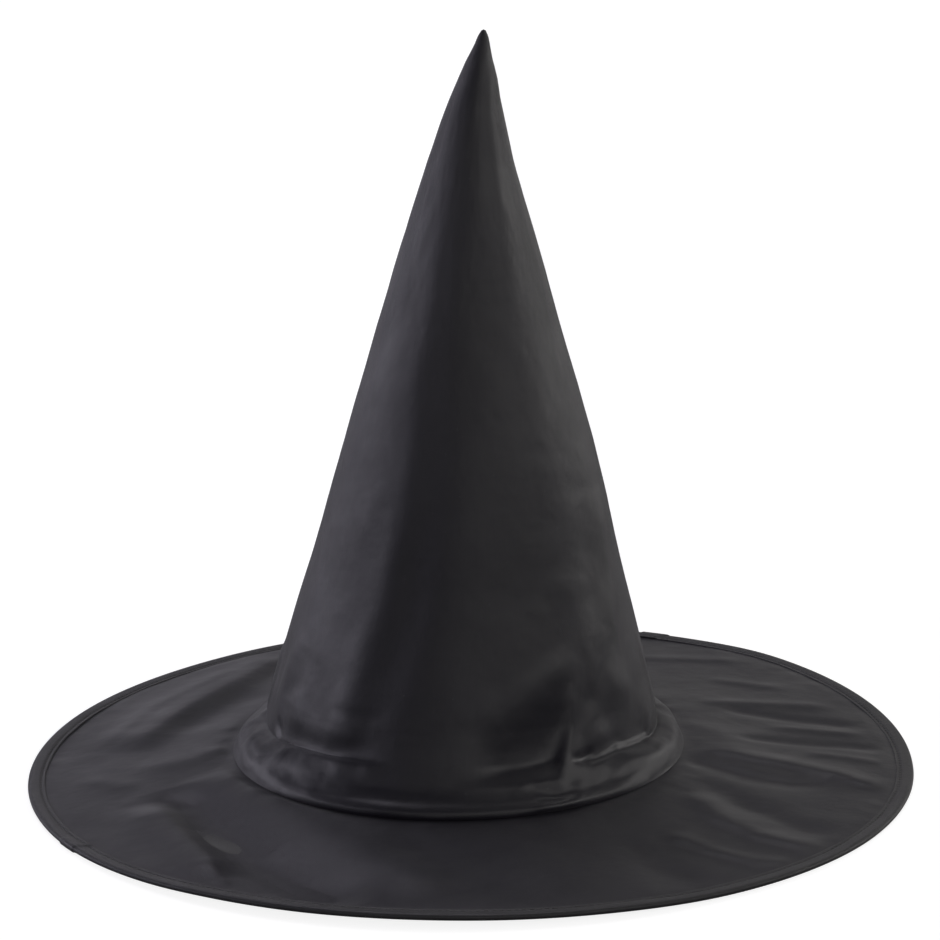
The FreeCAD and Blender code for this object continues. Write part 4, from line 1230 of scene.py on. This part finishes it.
SATIN = dict(dark=(0.0046, 0.0039, 0.0084), light=(0.0082, 0.0074, 0.0130), rough=0.43,
             yarn_mm=0.30, weave="satin", sheen=0.08, bump=0.30, mottle=0.72)
FELT = dict(yarn_mm=0.22, weave="felt", sheen=0.3, bump=0.6, spec=0.2)
m_crown = cloth("satin_crown", **SATIN)
m_brim = cloth("satin_brim", **SATIN)
m_under = cloth("satin_under", **SATIN)
m_bind = cloth("satin_binding", dark=(0.0065, 0.0062, 0.0085), light=(0.013, 0.0125, 0.0155),
               rough=0.50, yarn_mm=0.30, weave="satin", sheen=0.12, bump=0.35, mottle=0.6)
m_felt = cloth("felt_stiffener", dark=(0.020, 0.020, 0.022), light=(0.050, 0.050, 0.053),
               rough=0.92, **FELT)
m_liner = cloth("felt_liner", dark=(0.016, 0.016, 0.018), light=(0.040, 0.040, 0.043),
                rough=0.90, **FELT)
m_ribbon = cloth("ribbon", dark=(0.010, 0.010, 0.011), light=(0.022, 0.022, 0.024),
                 rough=0.55, yarn_mm=0.42, weave="rib", bump=0.5)
m_tape = cloth("tape", dark=(0.014, 0.014, 0.015), light=(0.030, 0.030, 0.031),
               rough=0.80, yarn_mm=0.35, weave="plain", bump=0.5)
m_thread = cloth("thread", dark=(0.010, 0.010, 0.011), light=(0.024, 0.024, 0.025),
                 rough=0.50, yarn_mm=0.12, weave="rib", sheen=0.2, bump=0.3)
m_label = cloth("label_satin", dark=(0.62, 0.61, 0.58), light=(0.78, 0.77, 0.74),
                rough=0.45, yarn_mm=0.22, weave="satin", sheen=0.05, bump=0.3)
m_wire = steel("spring_steel", base=(0.42, 0.42, 0.43), rough=0.30, streak=9000.0)
m_sleeve = steel("sleeve_steel", base=(0.58, 0.58, 0.56), rough=0.38, streak=4000.0)


def put(ob, mat):
    ob.data.materials.clear()
    ob.data.materials.append(mat)


for mat, slot_name, obs in (
    (m_crown, "satin", (foot, bend, point, cover_allow)),
    (m_brim, "satin", (brim_top,)),
    (m_under, "satin", (brim_under,)),
    (m_felt, "stiffener", (brim_felt,)),
    (m_bind, "binding", (binding,)),
    (m_thread, "thread", (stitches, head_stitches, thread_foot, thread_bend, thread_point)),
    (m_liner, "liner", (liner_foot, liner_bend, liner_point, liner_allow)),
    (m_ribbon, "ribbon", (band,)),
    (m_label, "label", (label,)),
    (m_wire, "spring_steel", (wire,)),
    (m_sleeve, "sleeve_steel", (sleeve,)),
):
    for ob in obs:
        put(ob, mat)


def uv_for_node(me):
    """Pattern coordinates for a CAD node: round the crown's axis, and height."""
    if me.uv_layers.get("UVMap") is None:
        me.uv_layers.new(name="UVMap")
    co = np.array([v.co for v in me.vertices]).reshape(-1, 3)
    idx = np.zeros(len(me.loops), dtype=int)
    me.loops.foreach_get("vertex_index", idx)
    corners = co[idx]
    angle = np.arctan2(corners[:, 1], corners[:, 0] - HEAD_X * METRES)
    uv = np.stack([angle * 0.094, corners[:, 2]], 1).astype(np.float32)
    me.uv_layers["UVMap"].data.foreach_set("uv", uv.ravel())


for node_name, mat in (("head_seam_tape", m_tape), ("care_label_stitch", m_thread)):
    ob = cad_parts[node_name]
    uv_for_node(ob.data)
    put(ob, mat)
    ob.data.polygons.foreach_set("use_smooth", np.ones(len(ob.data.polygons), dtype=bool))

# ------------------------------------------------------------------ the frame
for ob in (foot, liner_foot, thread_foot, brim_top, brim_under, brim_felt, binding, stitches,
           wire, sleeve, band, head_stitches, cover_allow, liner_allow):
    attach(ob, "hat_body")
for ob in (bend, liner_bend, thread_bend):
    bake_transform(ob)
for ob in (point, liner_point, thread_point):
    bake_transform(ob)
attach(label, "label")

for ob, node_name in (
    (foot, "crown_cover_lower"), (bend, "crown_cover_middle"), (point, "crown_cover_tip"),
    (liner_foot, "crown_liner_lower"), (liner_bend, "crown_liner_middle"),
    (liner_point, "crown_liner_tip"), (thread_foot, "back_seam_thread_lower"),
    (thread_bend, "back_seam_thread_middle"), (thread_point, "back_seam_thread_tip"),
    (brim_top, "brim_top_cover"), (brim_felt, "brim_stiffener"),
    (brim_under, "brim_under_cover"), (binding, "rim_binding"),
    (stitches, "rim_edge_stitching"), (wire, "rim_wire"), (sleeve, "rim_wire_sleeve"),
    (band, "sweatband"), (head_stitches, "head_seam_stitching"), (label, "care_label"),
):
    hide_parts(node_name)

# ---------------------------------------------------- floor, light and camera
FLOOR_HALF, FLOOR_Z = 6, -0.0002   # metres


def floor_material():
    m = bpy.data.materials.new("floor")
    tree, out = clear_tree(m, "ShaderNodeOutputMaterial")
    rays = tree.nodes.new("ShaderNodeLightPath")
    plain = add_node(tree, "ShaderNodeBsdfDiffuse", Color=(0.35, 0.35, 0.35, 1))
    # the camera sees it near white, and paler far out, where the soft boxes don't reach
    place = tree.nodes.new("ShaderNodeTexCoord")
    reach = add_node(tree, "ShaderNodeVectorMath", place.outputs["Object"])
    reach.operation = "LENGTH"
    far = add_node(tree, "ShaderNodeMapRange", Value=reach.outputs["Value"],
                   From_Min=0.9, From_Max=3.6, To_Min=0.86, To_Max=0.985)
    glow = add_node(tree, "ShaderNodeEmission", Color=(1, 1, 1, 1), Strength=far)
    shaded = add_node(tree, "ShaderNodeBsdfDiffuse", Color=(0.34, 0.34, 0.34, 1))
    pale = add_node(tree, "ShaderNodeAddShader", shaded, glow)
    seen = add_node(tree, "ShaderNodeMixShader", rays.outputs["Is Camera Ray"], plain, pale)
    # from below the floor isn't there, so the inside of the hat can be looked at
    side = tree.nodes.new("ShaderNodeNewGeometry")
    clear = tree.nodes.new("ShaderNodeBsdfTransparent")
    both = add_node(tree, "ShaderNodeMixShader", side.outputs["Backfacing"], seen, clear)
    plug(tree, out.inputs[0], both)
    return m


def make_floor():
    me = bpy.data.meshes.new("floor")
    corners = [(x * FLOOR_HALF, y * FLOOR_HALF, FLOOR_Z)
               for x, y in ((-1, -1), (1, -1), (1, 1), (-1, 1))]
    me.from_pydata(corners, [], [(0, 1, 2, 3)])
    floor = link_object("floor", me)
    me.materials.append(floor_material())


def make_world():
    """White to the camera, almost dark as a light."""
    world = bpy.data.worlds.new("studio")
    bpy.context.scene.world = world
    tree, out = clear_tree(world, "ShaderNodeOutputWorld")
    rays = tree.nodes.new("ShaderNodeLightPath")
    dim = add_node(tree, "ShaderNodeBackground", Color=(0.92, 0.95, 1.0, 1), Strength=0.006)
    white = add_node(tree, "ShaderNodeBackground", Color=(1, 1, 1, 1), Strength=0.98)
    plug(tree, out.inputs[0],
         add_node(tree, "ShaderNodeMixShader", rays.outputs["Is Camera Ray"], dim, white))


make_floor()
make_world()

LIGHT_DISTANCE = 2.2
LIGHT_AIM = Vector((0, 0, 0.12))
# name, azimuth (0 is behind the camera, 90 to its right), elevation,
# (width, height) in metres, power in watts
LIGHTS = [
    ("left_1", -165, 8, (0.8, 0.8), 1.3),
    ("left_2", -135, 8, (0.8, 0.8), 2.6),
    ("left_3", -112, 11, (0.8, 0.9), 4.3),
    ("left_4", -92, 14, (0.9, 1.0), 4.9),
    ("left_5", -72, 14, (0.9, 1.0), 3.2),
    ("left_6", -56, 8, (0.5, 0.5), 0.3),
    ("front_1", -7, 8, (1.0, 0.5), 1.5),
    ("front_2", 21, 8, (1.0, 0.5), 1.95),
    ("front_3", -6, 30, (1.5, 1.0), 3.3),
    ("front_4", 30, 30, (1.0, 1.0), 1.6),
    ("right_1", 56, 26, (1.0, 1.2), 5.2),
    ("right_2", 78, 24, (1.0, 1.4), 6.6),
    ("right_3", 117, 8, (0.8, 0.8), 6.6),
    ("right_4", 140, 12, (0.9, 1.0), 1.9),
    ("right_5", 165, 8, (0.8, 0.8), 1.0),
    ("back_left", -150, 58, (1.0, 1.0), 8.7),
    ("back_right", 150, 58, (1.0, 1.0), 5.6),
    ("top", 0, 88, (1.0, 1.0), 2.0),
]


def soft_box(name, azimuth, elevation, size, power):
    a, e = math.radians(azimuth), math.radians(elevation)
    direction = Vector((math.sin(a) * math.cos(e), -math.cos(a) * math.cos(e), math.sin(e)))
    at = LIGHT_AIM + direction * LIGHT_DISTANCE
    light = bpy.data.lights.new(name, "AREA")
    light.shape = "RECTANGLE"
    light.size, light.size_y = size
    light.energy = power
    # the boxes on the left are a touch cooler than the others
    warm = min(max((math.sin(a) + 0.35) / 0.3, 0.0), 1.0)
    light.color = (1.0 - 0.015 * warm, 0.962, 1.11 - 0.172 * warm)
    ob = link_object(name, light)
    ob.location = at
    ob.rotation_mode = "QUATERNION"
    ob.rotation_quaternion = (LIGHT_AIM - at).to_track_quat("-Z", "Y")
    ob.visible_camera = False


for row in LIGHTS:
    soft_box(*row)

CAMERA_ELEVATION, CAMERA_ROLL = math.radians(15.22), math.radians(1.14)
CAMERA_TARGET = Vector((0.0, 0.0, 0.1518))
CAMERA_DISTANCE = 2.0
# the target lies off the picture's centre: tangents of that angle, to the right and up
TARGET_RIGHT, TARGET_UP = -0.00104190785, 0.00894567345


def make_camera():
    data = bpy.data.cameras.new("camera")
    data.sensor_width = 36.0
    data.lens = 181.95
    data.clip_start, data.clip_end = 0.05, 50.0
    cam = link_object("camera", data)
    bpy.context.scene.camera = cam
    sin_e, cos_e = math.sin(CAMERA_ELEVATION), math.cos(CAMERA_ELEVATION)
    sin_r, cos_r = math.sin(CAMERA_ROLL), math.cos(CAMERA_ROLL)
    forward = Vector((0, cos_e, -sin_e))
    up = Vector((0, sin_e, cos_e))
    right = Vector((1, 0, 0))
    cam.location = CAMERA_TARGET - forward * CAMERA_DISTANCE
    rolled_right = right * cos_r - up * sin_r
    rolled_up = right * sin_r + up * cos_r
    look = (forward - rolled_right * TARGET_RIGHT - rolled_up * TARGET_UP).normalized()
    side = look.cross(rolled_up).normalized()
    top = side.cross(look).normalized()
    cam.rotation_mode = "QUATERNION"
    cam.rotation_quaternion = Matrix((side, top, -look)).transposed().to_quaternion()


make_camera()

view = bpy.context.scene.view_settings
view.view_transform = "Standard"
view.look = "None"
view.exposure = 0.0
view.gamma = 1.0
